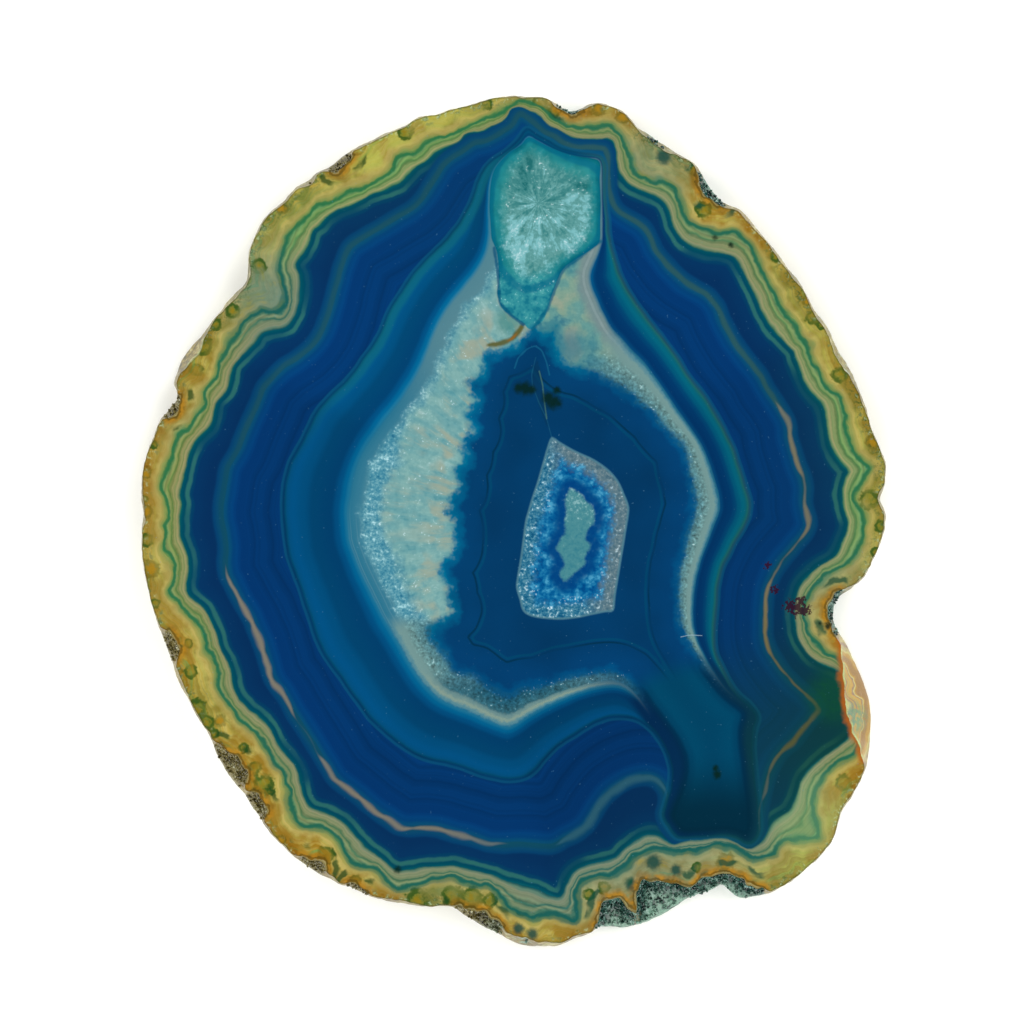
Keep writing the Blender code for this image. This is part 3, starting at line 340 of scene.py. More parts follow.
RAY_FIELD = [
    (1.9, 54), (0.6, 52.6), (-0.3, 51.3), (-1.3, 48.3), (-1.5, 45.3), (-1.2, 42.3), (-0.9, 39.6),
    (0.6, 36.9), (2.1, 35.9), (4.2, 36.6), (5.8, 37.6), (7.2, 38.7), (9.5, 40.5), (11, 42.9), (11.2, 44.7),
    (11.3, 47.4), (11.1, 49.8), (9.9, 50.5), (8.3, 51), (5.4, 52.5), (3, 53.7),
]
ISLAND = [
    (8.3, 5), (7.7, 4), (7.4, 2.7), (7.6, 1.3), (7.3, 0), (7.4, -1.5), (6.9, -2.2), (6.5, -3), (6.1, -4),
    (6.9, -5.2), (7.3, -6.5), (6.6, -7.2), (6.8, -8.2), (7.4, -9), (8.2, -8.6), (9.2, -7.6), (10, -7),
    (10.8, -6.3), (10.6, -5.3), (11, -4.6), (11.6, -3.3), (10.9, -2.8), (10.8, -2), (11.3, -1), (12, -0.3),
    (12, 0.8), (12, 1.8), (11.4, 2.6), (10.7, 3.2), (10.2, 4), (9.3, 4.6),
]

# The slit of the crack in the heart.
LENS = [
    (3.5, 23.6), (2.8, 21.6), (2.8, 19.9), (3.5, 17.6), (4.3, 15.4), (5, 13.6), (5, 15.4), (4.7, 17.6),
    (4.4, 19.8), (4.1, 21.8),
]

# The middle of the channel at the lower right.
CHANNEL = (28.0, -38.0)

# Each curve's field, and how much the band wanders about it.
BAND_CURVES = {
    "green": (GREEN_LINE, 1.7), "teal": (TEAL_EDGE, 0.25), "streak": (STREAK, 0.35),
    "pale": (PALE_LINE, 0.35), "quartz": (QUARTZ_EDGE, 0.25), "core": (CORE_EDGE, 0.3),
    "pocket": (POCKET, 0.1), "island": (ISLAND, 0.2), "top_pocket": (TOP_POCKET, 0.2),
    "ray_field": (RAY_FIELD, 0.8), "lens": (LENS, 0.0),
}

# Small round eyes near the rim, by their colour: a place and a radius.
GREEN_EYES = [
    (-37.2, 37.3, 1), (-15.8, 57, 1.1), (-3.8, 61, 0.8), (3.8, 61.2, 1), (6, 60, 0.9), (27.8, 45.5, 1.1),
    (26.7, 51.5, 0.9), (38.5, 38.8, 0.9), (43.8, 29.8, 0.9), (45, 28.7, 0.6), (47.8, 21.4, 1.1),
    (52, 3.2, 1.3), (53.8, -0.7, 0.8), (53, -4.5, 0.7), (-41, 30.7, 1), (-43.5, 28.8, 0.8),
    (-45.4, 25.6, 1.2), (-46.3, 22.2, 0.9), (-49.5, 16.4, 1.2), (-52.5, 11.2, 0.6), (-54, 3.2, 0.6),
    (-53.6, -2.8, 0.9), (-52.4, -12, 0.7), (-47.5, -17.8, 0.6), (-47.1, -21.9, 0.9), (-46.3, -27.5, 1.3),
    (-44.8, -29.3, 1), (-43.7, -31, 0.7), (-39.5, -33.2, 0.7), (-37.7, -36.1, 0.9), (-36.5, -38.4, 1.3),
    (-35.4, -39.6, 0.4), (-27.5, -48.8, 1.2), (-23, -52.5, 0.8), (-14, -55.5, 1.6), (-9, -54.6, 1.3),
    (-6.2, -55, 1.5), (-3.5, -55.5, 1), (1.3, -56.8, 0.8), (11, -54.5, 0.8), (13.3, -53.5, 0.8),
    (26.8, -50.6, 0.7), (48.3, -38.2, 1.1),
]
OCHRE_EYES = [
    (-33.8, 45.8, 0.8), (16, 59, 0.9), (12.5, 60.5, 1), (43, 32.3, 0.7), (52.5, 11.5, 0.9), (-53.7, 7, 0.7),
    (-53.8, 1.5, 1), (-53, -7, 1.2), (-42.8, -29.2, 0.8), (-34, -46.6, 0.7), (31, -49.8, 1.2),
]
TEAL_EYES = [
    (22, 53.3, 1.1), (0.8, -59.5, 0.8), (2.8, -60.3, 0.8), (17.3, -53.1, 0.9), (20.5, -49.8, 1.1),
    (23.8, -51, 0.8),
]

# Tints of the rim: a place near the green line, then how amber, lime, green and grey the rim is there,
# and how green and how grey the bands inside the green line are.
RIM_TINTS = [
    (0, 61, 0.1, 0.6, 0.3, 0, 0.5, 0), (-8, 57, 0.1, 0.8, 0.3, 0, 0.8, 0),
    (-14, 54, 0.1, 0.8, 0.1, 0, 0.9, 0), (-19, 52, 0.1, 1, 0, 0, 0.9, 0),
    (-24, 49, 0.5, 0.6, 0.1, 0, 0.9, 0), (-27, 47, 0.1, 0.3, 0.8, 0, 0.9, 0),
    (-31, 44, 0.1, 0.4, 0.6, 0, 0.9, 0), (-34, 40, 0.2, 0.7, 0.3, 0.1, 0.9, 0.1),
    (-35, 36, 0, 0.1, 0.4, 0.7, 0.4, 0.8), (-34, 32, 0, 0, 0.2, 1, 0.1, 1),
    (-38, 30, 0, 0.1, 0.5, 0.5, 0.1, 0.8), (-41, 27, 0.5, 0.2, 0.6, 0, 0.2, 0.4),
    (-43, 22, 0.8, 0.3, 0.3, 0, 0.2, 0.2), (-45, 18, 0.6, 0.3, 0.2, 0, 0.3, 0.1),
    (-48, 14, 0.4, 0.2, 0.4, 0.2, 0.3, 0.1), (-50, 10, 0.7, 0.3, 0.1, 0, 0.2, 0),
    (-51, 5, 0.7, 0.3, 0.1, 0, 0.3, 0), (-51, 0, 0.4, 0.4, 0.1, 0, 0.4, 0),
    (-51, -5, 0.5, 0.3, 0.3, 0, 0.4, 0), (-50, -10, 0.3, 0.4, 0.2, 0, 0.4, 0.1),
    (-48, -14, 0.7, 0.2, 0.1, 0, 0.4, 0.1), (-44, -20, 0.8, 0.3, 0.1, 0, 0.3, 0.2),
    (-42, -26, 0.4, 0.2, 0.6, 0, 0.3, 0.3), (-39, -30, 0.8, 0.1, 0.2, 0, 0.3, 0.3),
    (-35, -35, 0.9, 0.1, 0.2, 0, 0.2, 0.5), (-33, -42, 0.7, 0.2, 0.2, 0, 0.3, 0.4),
    (-28, -47, 1, 0.1, 0.1, 0, 0.3, 0.5), (-22, -50, 0.8, 0.2, 0.2, 0, 0.3, 0.6),
    (-17, -53, 0.6, 0.3, 0.2, 0.1, 0.3, 0.6), (-11, -53, 0.2, 0.1, 0.8, 0.2, 0.3, 0.7),
    (-8, -53, 0.2, 0.1, 0.8, 0.2, 0.3, 0.7), (-4, -54, 0.7, 0.1, 0.5, 0, 0.2, 0.8),
    (2, -58, 0.9, 0.1, 0.2, 0, 0.3, 0.8), (6, -58, 0.6, 0.4, 0.2, 0, 0.1, 1),
    (11, -54, 0.4, 0.1, 0.3, 0.5, 0, 1), (17, -50, 0.3, 0.1, 0.4, 0.6, 0, 1),
    (27, -48, 0.4, 0.1, 0.3, 0.5, 0.1, 1), (34, -49, 0.7, 0.3, 0.2, 0.3, 0.2, 0.9),
    (39, -49, 0.2, 1, 0.4, 0.1, 0.5, 0.5), (44, -46, 0.4, 0.9, 0.1, 0, 0.6, 0.3),
    (46, -41, 0.8, 0.8, 0, 0, 0.4, 0.5), (46, -37, 0.8, 0.6, 0.1, 0, 0.3, 0.5),
    (49, -34, 0.8, 0.5, 0, 0, 0.3, 0.3), (48, -20, 0.9, 0.4, 0, 0, 0.2, 0.3),
    (45, -14, 0.7, 0.3, 0, 0.2, 0.2, 0.5), (46, -9, 0.2, 0.5, 0.3, 0.5, 0.5, 0.4),
    (49, -6, 0.2, 0.6, 0.3, 0.2, 0.8, 0.2), (51, 0, 0.3, 0.5, 0.4, 0, 0.9, 0.1),
    (50, 5, 0.4, 0.6, 0.4, 0, 0.9, 0.1), (52, 9, 0.2, 0.7, 0.6, 0, 0.9, 0.1),
    (49, 13, 0.6, 0.5, 0.3, 0, 0.8, 0.1), (47, 17, 0.2, 0.5, 0.8, 0, 0.7, 0.1),
    (45, 20, 0.8, 0.4, 0.1, 0, 0.7, 0.2), (43, 26, 0.3, 0.8, 0.2, 0, 0.6, 0.2),
    (40, 30, 0.4, 0.4, 0.5, 0, 0.6, 0.2), (37, 35, 0.4, 0.4, 0.6, 0, 0.4, 0.3),
    (33, 39, 0.9, 0.6, 0.1, 0, 0.3, 0.3), (29, 42, 0.9, 0.3, 0.1, 0, 0.4, 0.5),
    (25, 45, 0.9, 0.2, 0.2, 0, 0.5, 0.4), (22, 50, 0.3, 0.2, 0.6, 0.4, 0.6, 0.4),
    (18, 52, 0.1, 0.2, 0.6, 0.6, 0.5, 0.3), (13, 55, 0.7, 0.5, 0.1, 0, 0.4, 0.3),
    (9, 58, 0.5, 0.6, 0.1, 0.1, 0.4, 0.2), (4, 61, 0.2, 0.7, 0.2, 0.1, 0.4, 0.1),
]

# Stretches where the streak in the blue is beige instead of green: its places, and how orange, how blue
# and how wide it is there.
BEIGE_STREAK = [
    (-41.3, -9.6, 0, 0.1, 0.5), (-39.5, -13, 0, 0, 0.9), (-37.6, -17.2, 0, 0, 1.1),
    (-36.2, -21.3, 0, 0, 0.9), (-34.5, -24.8, 0, 0, 0.9), (-33.3, -26.6, 0.1, 0.2, 0.5),
    (-30, -31.5, 0, 0.7, 0.2), (-27.2, -36.6, 0, 0.2, 0.8), (-24.5, -39.4, 0, 0, 1),
    (-21, -42.3, 0, 0, 0.9), (-17.6, -44.5, 0, 0.1, 1), (-12, -45.3, 0.1, 0.1, 0.7),
    (-8, -46.2, 0, 0.2, 1.1), (-4.3, -47.3, 0, 0.5, 0.6), (9.6, -45.9, 0, 1, 1.2), (11.6, -43.9, 0, 1, 1.4),
    (13.4, -41.2, 0, 1, 1.4), (15.4, -39.2, 0, 1, 1.4), (17.8, -38, 0, 1, 1.3), (20.2, -38, 0, 1, 0.8),
    (40.5, 14.8, 0.2, 0.3, 0.9), (41.2, 11, 0.3, 0.1, 0.8), (41.9, 8.6, 0.4, 0.1, 0.7),
    (42.9, 4.5, 0.4, 0.4, 0.3), (43.4, 1, 0.4, 0.2, 0.9), (43, -2, 0.5, 0.2, 0.4),
    (41.2, -4.8, 0.6, 0.2, 0.3), (39.2, -7.2, 0.6, 0.2, 0.3), (37.6, -10, 0.5, 0.1, 0.6),
    (37.3, -12.5, 0.6, 0, 0.6), (37.2, -15, 0.7, 0, 0.7), (37.5, -18, 0.7, 0, 0.6),
    (39.2, -21.2, 0.7, 0, 0.4), (41.4, -24, 0.7, 0, 0.4), (43.2, -26.2, 0.6, 0, 0.5),
    (44.2, -28.2, 0.5, 0, 0.8), (42.6, -30.6, 1, 0, 0.9), (40.6, -32.9, 1, 0, 0.9),
    (38.6, -35.3, 0.5, 0.1, 0.5), (37.2, -39, 0.2, 0.4, 0.5), (36.4, -43, 0.1, 0.5, 0.3),
]

# Tints of the blue: a place, then how dark and how green it is there.
BLUE_TINTS = [
    (-20, 36, 0, 0), (-20, 45, 0, 0.15), (-38, 0, 0.25, 0), (-46, 0, 0.05, 0), (-30, -20, 0.2, 0),
    (-10, -41, 0.3, 0), (-10, -48, 0.15, 0.05), (14, -35, 0.55, 0), (20, -42, 0.3, 0.1), (25, 30, 0.1, 0),
    (37, 10, 0.3, 0), (44.7, 10, 0, 0.3), (33, -10, 0.3, 0), (40, -5, 0.25, 0.1), (39.5, -14, 0.4, 0.2),
    (41, -24, 0.1, 0.3), (44, -23.5, 0.45, 0.75), (47, -26, 0.35, 1), (47, -30.5, 0.3, 1),
    (43, -35, 0.1, 0.8), (38, -41, 0, 0.6),
]

# Thin lines and small marks inside the slice.
CRACK_LEFT = [(3.3, 24), (2.7, 21.5), (2.8, 20), (3.7, 17.5), (4.9, 15), (5.6, 12.4)]
CRACK_RIGHT = [(3.8, 22), (4.3, 20), (4.5, 18), (4.9, 15)]
OLIVE_ARC = [(1.3, 28.5), (0.6, 27.5), (-0.3, 26.6), (-1.8, 26), (-3.5, 25.8)]
CHANNEL_NECK = [(12.7, 41), (10.2, 39), (7.2, 36.8), (6, 33.8), (5, 31), (2.8, 28)]
POCKET_NECK = [(-2.8, 40), (-2.2, 36), (-2, 32), (-0.4, 30.2), (1.5, 28.8)]
SCRATCH = [(24.5, -16.9), (25.8, -16.6), (27.6, -16.7)]
VEINS = [(0.2, 22.4), (0.7, 23.9), (2, 25.2), (3.2, 25.7), (4.2, 25), (4.9, 23.2), (5.3, 21.4)]
THIN_LINES = {
    "crack": CRACK_LEFT, "crack_right": CRACK_RIGHT, "olive_arc": OLIVE_ARC, "veins": VEINS,
    "channel_neck": CHANNEL_NECK, "pocket_neck": POCKET_NECK, "scratch": SCRATCH,
}
DARK_SPOTS = [
    (0.9, 19.5, 0.7), (1.8, 19.4, 0.9), (2.7, 19.3, 0.6), (5.1, 18.1, 0.8), (5.8, 17.5, 1),
    (6.5, 17.2, 0.6), (6.4, 19.2, 0.5), (29.6, -36, 0.4), (29.8, -37, 0.6), (-16.9, -50.9, 0.5),
    (29.5, 41.5, 0.4), (31.8, 40.4, 0.4), (46, -15.3, 0.5), (44.9, -14.9, 0.3),
]
RED_SPOTS = [
    (40.4, -12.3, 0.8), (41.5, -12.7, 1), (42.6, -13, 0.8), (41.7, -11.8, 0.6), (37, -6.5, 0.5),
    (38.2, -10, 0.5), (42.3, -11.4, 0.5),
]

# Each kind of spot's field.
SPOTS = {
    "green_eye": GREEN_EYES, "ochre_eye": OCHRE_EYES, "teal_eye": TEAL_EYES,
    "dark_spot": DARK_SPOTS, "red_spot": RED_SPOTS,
}


def smooth_loop(points, spacing):
    """Places at equal steps along a smooth closed curve through the points."""
    start = np.array(points)[:, :2]
    before, end, after = (np.roll(start, shift, axis=0) for shift in (1, -1, -2))
    steps = []
    for t in np.arange(CURVE_STEPS) / CURVE_STEPS:
        steps.append(0.5 * (2 * start + (end - before) * t
                            + (2 * before - 5 * start + 4 * end - after) * t ** 2
                            + (3 * start - before - 3 * end + after) * t ** 3))
    fine = np.stack(steps, axis=1).reshape(-1, 2)
    fine = np.vstack([fine, fine[:1]])
    lengths = np.concatenate([[0.0], np.cumsum(np.hypot(*np.diff(fine, axis=0).T))])
    wanted = np.linspace(0.0, lengths[-1], round(lengths[-1] / spacing), endpoint=False)
    return np.column_stack([np.interp(wanted, lengths, fine[:, axis]) for axis in (0, 1)])


def smooth_line(points, spacing):
    """Places at equal steps along an open line through the points, with its corners rounded."""
    corners = np.array(points)
    lengths = np.concatenate([[0.0], np.cumsum(np.hypot(*np.diff(corners, axis=0).T))])
    wanted = np.linspace(0.0, lengths[-1], max(3, round(lengths[-1] / spacing)))
    line = np.column_stack([np.interp(wanted, lengths, corners[:, axis]) for axis in (0, 1)])
    for _ in range(CORNER_PASSES):
        line[1:-1] = 0.25 * line[:-2] + 0.5 * line[1:-1] + 0.25 * line[2:]
    return line


def nearest_of(places, loop):
    """The number of the loop's point that is nearest to each place."""
    tree = kdtree.KDTree(len(loop))
    for i, (x, y) in enumerate(loop):
        tree.insert((x, y, 0.0), i)
    tree.balance()
    return np.array([tree.find((x, y, 0.0))[1] for x, y in places])


def distance_to(places, line, closed=False):
    """How far each place is from the line, and for a closed line with a sign: above zero inside it."""
    nearest = nearest_of(places, line)
    last = len(line) - 1
    best = np.full(len(places), np.inf)
    foot = np.zeros(places.shape)
    for step in (-1, 1):
        beside = (nearest + step) % len(line) if closed else np.clip(nearest + step, 0, last)
        start = line[nearest]
        along = line[beside] - start
        share = ((places - start) * along).sum(axis=1) / np.maximum((along ** 2).sum(axis=1), 1e-9)
        there = start + along * np.clip(share, 0.0, 1.0)[:, None]
        apart = np.hypot(*(places - there).T)
        closer = apart < best
        best[closer] = apart[closer]
        foot[closer] = there[closer]
    if not closed:
        return best
    along = np.roll(line, -1, axis=0) - np.roll(line, 1, axis=0)
    inward = np.column_stack([-along[:, 1], along[:, 0]]) * turning(line)
    outside = ((places - foot) * inward[nearest]).sum(axis=1) < 0.0
    return np.where(outside, -best, best)


def turning(loop):
    """1 for a loop that runs anticlockwise, -1 for one that runs clockwise."""
    after = np.roll(loop, -1, axis=0)
    return math.copysign(1.0, (loop[:, 0] * after[:, 1] - loop[:, 1] * after[:, 0]).sum())


def inside_of(places, loop):
    """True for each place inside the closed loop."""
    x, y = places.T
    inside = np.zeros(len(places), dtype=bool)
    for (x0, y0), (x1, y1) in zip(loop, np.roll(loop, -1, axis=0)):
        if y0 != y1:
            level = (y > min(y0, y1)) & (y <= max(y0, y1))
            inside ^= level & (x < x0 + (y - y0) * (x1 - x0) / (y1 - y0))
    return inside


def inward_directions(loop):
    """A unit vector into the stone at each station, smooth enough that the columns never cross."""
    reach = round(NORMAL_REACH / STATION_SPACING)
    along = np.roll(loop, -reach, axis=0) - np.roll(loop, reach, axis=0)
    inward = np.column_stack([-along[:, 1], along[:, 0]])
    return inward / np.hypot(*inward.T)[:, None]


def rim_values(loop):
    """For each station: how far in the polished face stops, how drusy and how chipped the wall is."""
    marks = []
    for x, y, *values in RIM_MARKS:
        marks.append((int(np.argmin(np.hypot(*(loop - (x, y)).T))), values))
    marks.sort(key=lambda mark: mark[0])
    count = len(loop)
    stations = []
    for i in range(count):
        before = max((m for m in marks if m[0] <= i), key=lambda m: m[0], default=None)
        after = min((m for m in marks if m[0] > i), key=lambda m: m[0], default=None)
        start, low = before if before else (marks[-1][0] - count, marks[-1][1])
        end, high = after if after else (marks[0][0] + count, marks[0][1])
        t = (i - start) / (end - start)
        t = t * t * (3 - 2 * t)
        stations.append([a + (b - a) * t for a, b in zip(low, high)])
    return np.array(stations)


def wall_columns(loop, inward, values, draw):
    """The wall's points as an array: station, level, and x, y, z."""
    columns = np.zeros((len(loop), LEVELS, 3))
    for i, (place, direction, (reach, drusy, chipped)) in enumerate(zip(loop, inward, values)):
        skin = 1 - max(drusy, chipped)
        total = skin + drusy + chipped
        rough = noise.noise(Vector((place[0], place[1], 5.0)) / NIBBLE_SIZE)
        reach = max(LEAST_REACH, reach + NIBBLE * (1 + 1.5 * drusy) * rough)
        for level in range(LEVELS):
            forms = ((SKIN_WALL, skin), (DRUSY_WALL, drusy), (CHIP_WALL, chipped))
            share = sum(form[level][0] * weight for form, weight in forms) / total
            height = sum(form[level][1] * weight for form, weight in forms) / total
            inside = share * reach
            z = height * THICKNESS
            if 0 < level < LEVELS - 1:
                lump = noise.noise(Vector((place[0], place[1], z * 1.4)) / LUMP_SIZE)
                grain = noise.noise(Vector((place[0], place[1], z * 1.2)) / GRAIN_SIZE)
                inside += SKIN_LUMP * (0.5 + lump + GRAIN_SHARE * grain) * (1 - 0.5 * chipped)
                if level >= FIRST_SLOPE_LEVEL:
                    z += drusy * min(reach, 2.0) * draw.uniform(-HOLLOW_ROUGHNESS, HOLLOW_ROUGHNESS)
                    ripple = math.sin(2 * math.pi * inside / RIPPLE_SPACING + 0.08 * place[1])
                    z += chipped * RIPPLE_HEIGHT * ripple
            columns[i, level, :2] = place + direction * inside
            columns[i, level, 2] = min(max(z, 0.0), THICKNESS)
    return columns


def line_points(lines):
    """Points on and beside the thin lines, so that the mesh is fine enough to carry them."""
    points = []
    for line in lines:
        run = smooth_line(line, MARK_SPACING)
        along = np.gradient(run, axis=0)
        beside = np.column_stack([-along[:, 1], along[:, 0]])
        beside = beside / np.hypot(*beside.T)[:, None]
        for offset in MARK_OFFSETS:
            points.append(run + offset * beside)
    return np.vstack(points)


def fill_face(ring, spacing, draw, extra=None):
    """Points inside the ring on a hexagonal pattern, and the triangles that fill the ring with them."""
    low = ring.min(axis=0)
    high = ring.max(axis=0)
    rows = np.arange(low[1], high[1], spacing * math.sqrt(3) / 2)
    places = []
    for row, y in enumerate(rows):
        xs = np.arange(low[0] + (row % 2) * spacing / 2, high[0], spacing)
        places.append(np.column_stack([xs, np.full(len(xs), y)]))
    places = np.vstack(places)
    places = places + draw.uniform(-POINT_SHIFT, POINT_SHIFT, places.shape) * spacing
    places = places[distance_to(places, ring, closed=True) > RING_GAP * spacing]
    if extra is not None:
        apart = np.hypot(*(places - extra[nearest_of(places, extra)]).T)
        places = np.vstack([places[apart > LINE_GAP], extra])
    everything = [Vector(p) for p in np.vstack([ring, places])]
    border = list(range(len(ring)))
    found = geometry.delaunay_2d_cdt(everything, [], [border], 1, 1e-6, False)
    triangles = np.array(found[2])
    middles = np.vstack([ring, places])[triangles].mean(axis=1)
    return places, triangles[inside_of(middles, ring)]


def grow_crystals(columns, values, outline, inward, draw):
    """Closed six-sided quartz points, standing on the walls of the rim's hollows."""
    drusy = values[:, 1] * np.clip(values[:, 0], 0.0, 4.0)
    drusy[values[:, 1] < 0.5] = 0.0
    chances = drusy / drusy.sum()
    points = []
    faces = []
    for _ in range(CRYSTAL_COUNT):
        i = draw.choice(len(columns), p=chances)
        level = draw.integers(FIRST_SLOPE_LEVEL, LEVELS - 1)
        corner = columns[i, level]
        along = columns[(i + 1) % len(columns), level] - corner
        up = columns[i, level + 1] - corner
        foot = corner + draw.random() * along + draw.random() * up
        normal = np.cross(along, up)
        normal = normal / (np.linalg.norm(normal) + 1e-9)
        normal = normal + (0.0, 0.0, CRYSTAL_RISE) + draw.normal(0.0, CRYSTAL_SPREAD, 3)
        normal = normal / np.linalg.norm(normal)
        side = np.cross(normal, (0.3, 0.2, 0.9))
        side = side / np.linalg.norm(side)
        other = np.cross(normal, side)
        radius = draw.uniform(*CRYSTAL_RADIUS)
        length = draw.uniform(*CRYSTAL_LENGTH)
        turn = draw.uniform(0.0, math.pi)
        tip = foot + normal * length
        beside = outline[i] - tip[:2]
        if beside @ inward[i] > -OUTLINE_GAP or tip[2] > THICKNESS:
            continue
        first = len(points)
        for height in (-CRYSTAL_ROOT, CRYSTAL_SHOULDER * length):
            for k in range(6):
                angle = turn + k * math.pi / 3
                around = math.cos(angle) * side + math.sin(angle) * other
                points.append(foot + normal * height + around * radius)
        points.append(foot + normal * length + side * radius * draw.uniform(-CRYSTAL_LEAN, CRYSTAL_LEAN))
        faces.append([first + k for k in reversed(range(6))])
        for k in range(6):
            after = (k + 1) % 6
            faces.append([first + k, first + after, first + 6 + after, first + 6 + k])
            faces.append([first + 6 + k, first + 6 + after, first + 12])
    points = np.array(points)
    points[:, 2] = np.clip(points[:, 2], 0.05, THICKNESS - 0.02)
    return points, faces


def nearest_share(places, spots):
    """Distance to the nearest spot's middle as a share of its radius."""
    best = np.full(len(places), FAR["spot"])
    for x, y, radius in spots:
        best = np.minimum(best, np.hypot(places[:, 0] - x, places[:, 1] - y) / radius)
    return best


def blended(places, marks, reach):
    """The marks' values, blended over the places by closeness."""
    marks = np.array(marks)
    weights = np.zeros((len(places), len(marks)))
    for i, mark in enumerate(marks):
        apart = np.hypot(places[:, 0] - mark[0], places[:, 1] - mark[1])
        weights[:, i] = np.exp(-0.5 * (apart / reach) ** 2) + 1e-12 / (1.0 + apart)
    return (weights @ marks[:, 2:]) / weights.sum(axis=1)[:, None]


def clouds(places, size, seed):
    """Smooth noise from about 0 to 1 with features of the given size."""
    return np.array([0.5 + 0.42 * noise.noise(Vector((x / size, y / size, seed)))
                     + 0.20 * noise.noise(Vector((2.2 * x / size, 2.2 * y / size, seed + 7.0)))
                     for x, y in places])


def band_fields(places, outline, ring, values):
    """What the material reads at each point of the mesh. Distances are in millimetres."""
    fields = {"rim": distance_to(places, outline, closed=True),
              "edge": distance_to(places, ring, closed=True)}
    wander = clouds(places, WANDER_SIZE, 1.0) - 0.5
    wave = clouds(places, WAVE_SIZE, 3.0) - 0.5
    for name, (curve, wobble) in BAND_CURVES.items():
        distance = distance_to(places, smooth_loop(curve, CURVE_SPACING), closed=True)
        fields[name] = distance + wobble * (0.6 * wander + 0.4 * wave)
    for name, column in (("hollow", 1), ("fracture", 2)):
        stations = ring[values[:, column] > OPEN_SHARE]
        nearest = stations[nearest_of(places, stations)]
        fields[name] = np.minimum(np.hypot(*(places - nearest).T), FAR["hollow"])
    for name, line in THIN_LINES.items():
        distance = distance_to(places, smooth_line(line, MARK_SPACING))
        fields[name] = np.minimum(distance, FAR["line"])
    for name, spots in SPOTS.items():
        fields[name] = nearest_share(places, spots)
    names = ("amber", "lime", "leaf", "grey", "inner_leaf", "inner_grey")
    fields.update(zip(names, blended(places, RIM_TINTS, TINT_REACH["rim"]).T))
    fields.update(zip(("dark", "sea_green"), blended(places, BLUE_TINTS, TINT_REACH["blue"]).T))
    names = ("orange", "pale_blue", "wide")
    fields.update(zip(names, blended(places, BEIGE_STREAK, TINT_REACH["beige"]).T))
    marks = np.array(BEIGE_STREAK)[:, :2]
    apart = np.hypot(*(places - marks[nearest_of(places, marks)]).T)
    fields["beige"] = np.clip(1.0 - (apart - 0.8) / 3.4, 0.0, 1.0)
    fields["to_left"] = np.clip((2.0 - places[:, 0]) / 8.0, 0.0, 1.0)
    fields["cloud"] = clouds(places, CLOUD_SIZE, 11.0)
    fields["drift"] = clouds(places, DRIFT_SIZE, 17.0)
    return fields


def wall_faces(count):
    """The four-sided faces between neighbouring stations and levels of the wall."""
    faces = []
    for low in range(0, (LEVELS - 1) * count, count):
        for i in range(count):
            after = (i + 1) % count
            faces.append((low + i, low + after, low + count + after, low + count + i))
    return faces


def set_in_box(points, wall):
    """The points in metres, in the box of the plain solid, which the wall fills."""
    low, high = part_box("agate_slice")
    found_low = wall.min(axis=0)
    found_high = wall.max(axis=0)
    scale = np.array([(high[axis] - low[axis]) / (found_high[axis] - found_low[axis])
                      for axis in (0, 1)] + [MM])
    middle = np.append((found_low[:2] + found_high[:2]) / 2, 0.0)
    centre = np.array([(low[0] + high[0]) / 2, (low[1] + high[1]) / 2, low[2]])
    points = (points - middle) * scale + centre
    points[:, :2] = np.clip(points[:, :2], low[:2], high[:2])
    return points


def build_stone():
    """The whole slice as one mesh, with the band fields at its points."""
    draw = np.random.default_rng(RANDOM_SEED)
    outline = smooth_loop(OUTLINE, STATION_SPACING)
    inward = inward_directions(outline)
    values = rim_values(outline)
    columns = wall_columns(outline, inward, values, draw)
    count = len(columns)
    ring = columns[:, -1, :2]
    foot_ring = columns[:, 0, :2]
    top_places, top_faces = fill_face(ring, TOP_SPACING, draw, line_points(THIN_LINES.values()))
    under_places, under_faces = fill_face(foot_ring, UNDERSIDE_SPACING, draw)
    crystal_points, crystal_faces = grow_crystals(columns, values, outline, inward, draw)

    wall = columns.transpose(1, 0, 2).reshape(-1, 3)
    top = np.column_stack([top_places, np.full(len(top_places), THICKNESS)])
    under = np.column_stack([under_places, np.zeros(len(under_places))])
    points = np.vstack([wall, top, under, crystal_points])
    top_start, under_start, crystal_start = np.cumsum([len(wall), len(top), len(under)]).tolist()
    last_ring = (LEVELS - 1) * count
    top_index = np.concatenate([np.arange(last_ring, last_ring + count), np.arange(top_start, under_start)])
    under_index = np.concatenate([np.arange(count), np.arange(under_start, crystal_start)])
    groups = (
        (WALL, wall_faces(count)),
        (POLISHED, top_index[top_faces].tolist()),
        (POLISHED, under_index[under_faces][:, ::-1].tolist()),
        (CRYSTAL, [[crystal_start + corner for corner in face] for face in crystal_faces]),
    )
    faces = [face for _, group in groups for face in group]
    kinds = np.array([kind for kind, group in groups for _ in group])

    fields = band_fields(points[:, :2], outline, ring, values)
    station = nearest_of(points[:, :2], outline)
    fields["drusy"] = values[station, 1]
    fields["chipped"] = values[station, 2]

    mesh = bpy.data.meshes.new("agate_stone")
    mesh.from_pydata(set_in_box(points, wall).tolist(), [], faces)
    for name, numbers in fields.items():
        attribute = mesh.attributes.new(name, "FLOAT", "POINT")
        attribute.data.foreach_set("value", np.asarray(numbers, dtype=np.float32))
    mesh.polygons.foreach_set("material_index", (kinds == CRYSTAL).astype(np.int32))
    mesh.polygons.foreach_set("use_smooth", kinds == WALL)
    mesh.update()
    stone = bpy.data.objects.new("agate_stone", mesh)
    bpy.context.scene.collection.objects.link(stone)
    return stone


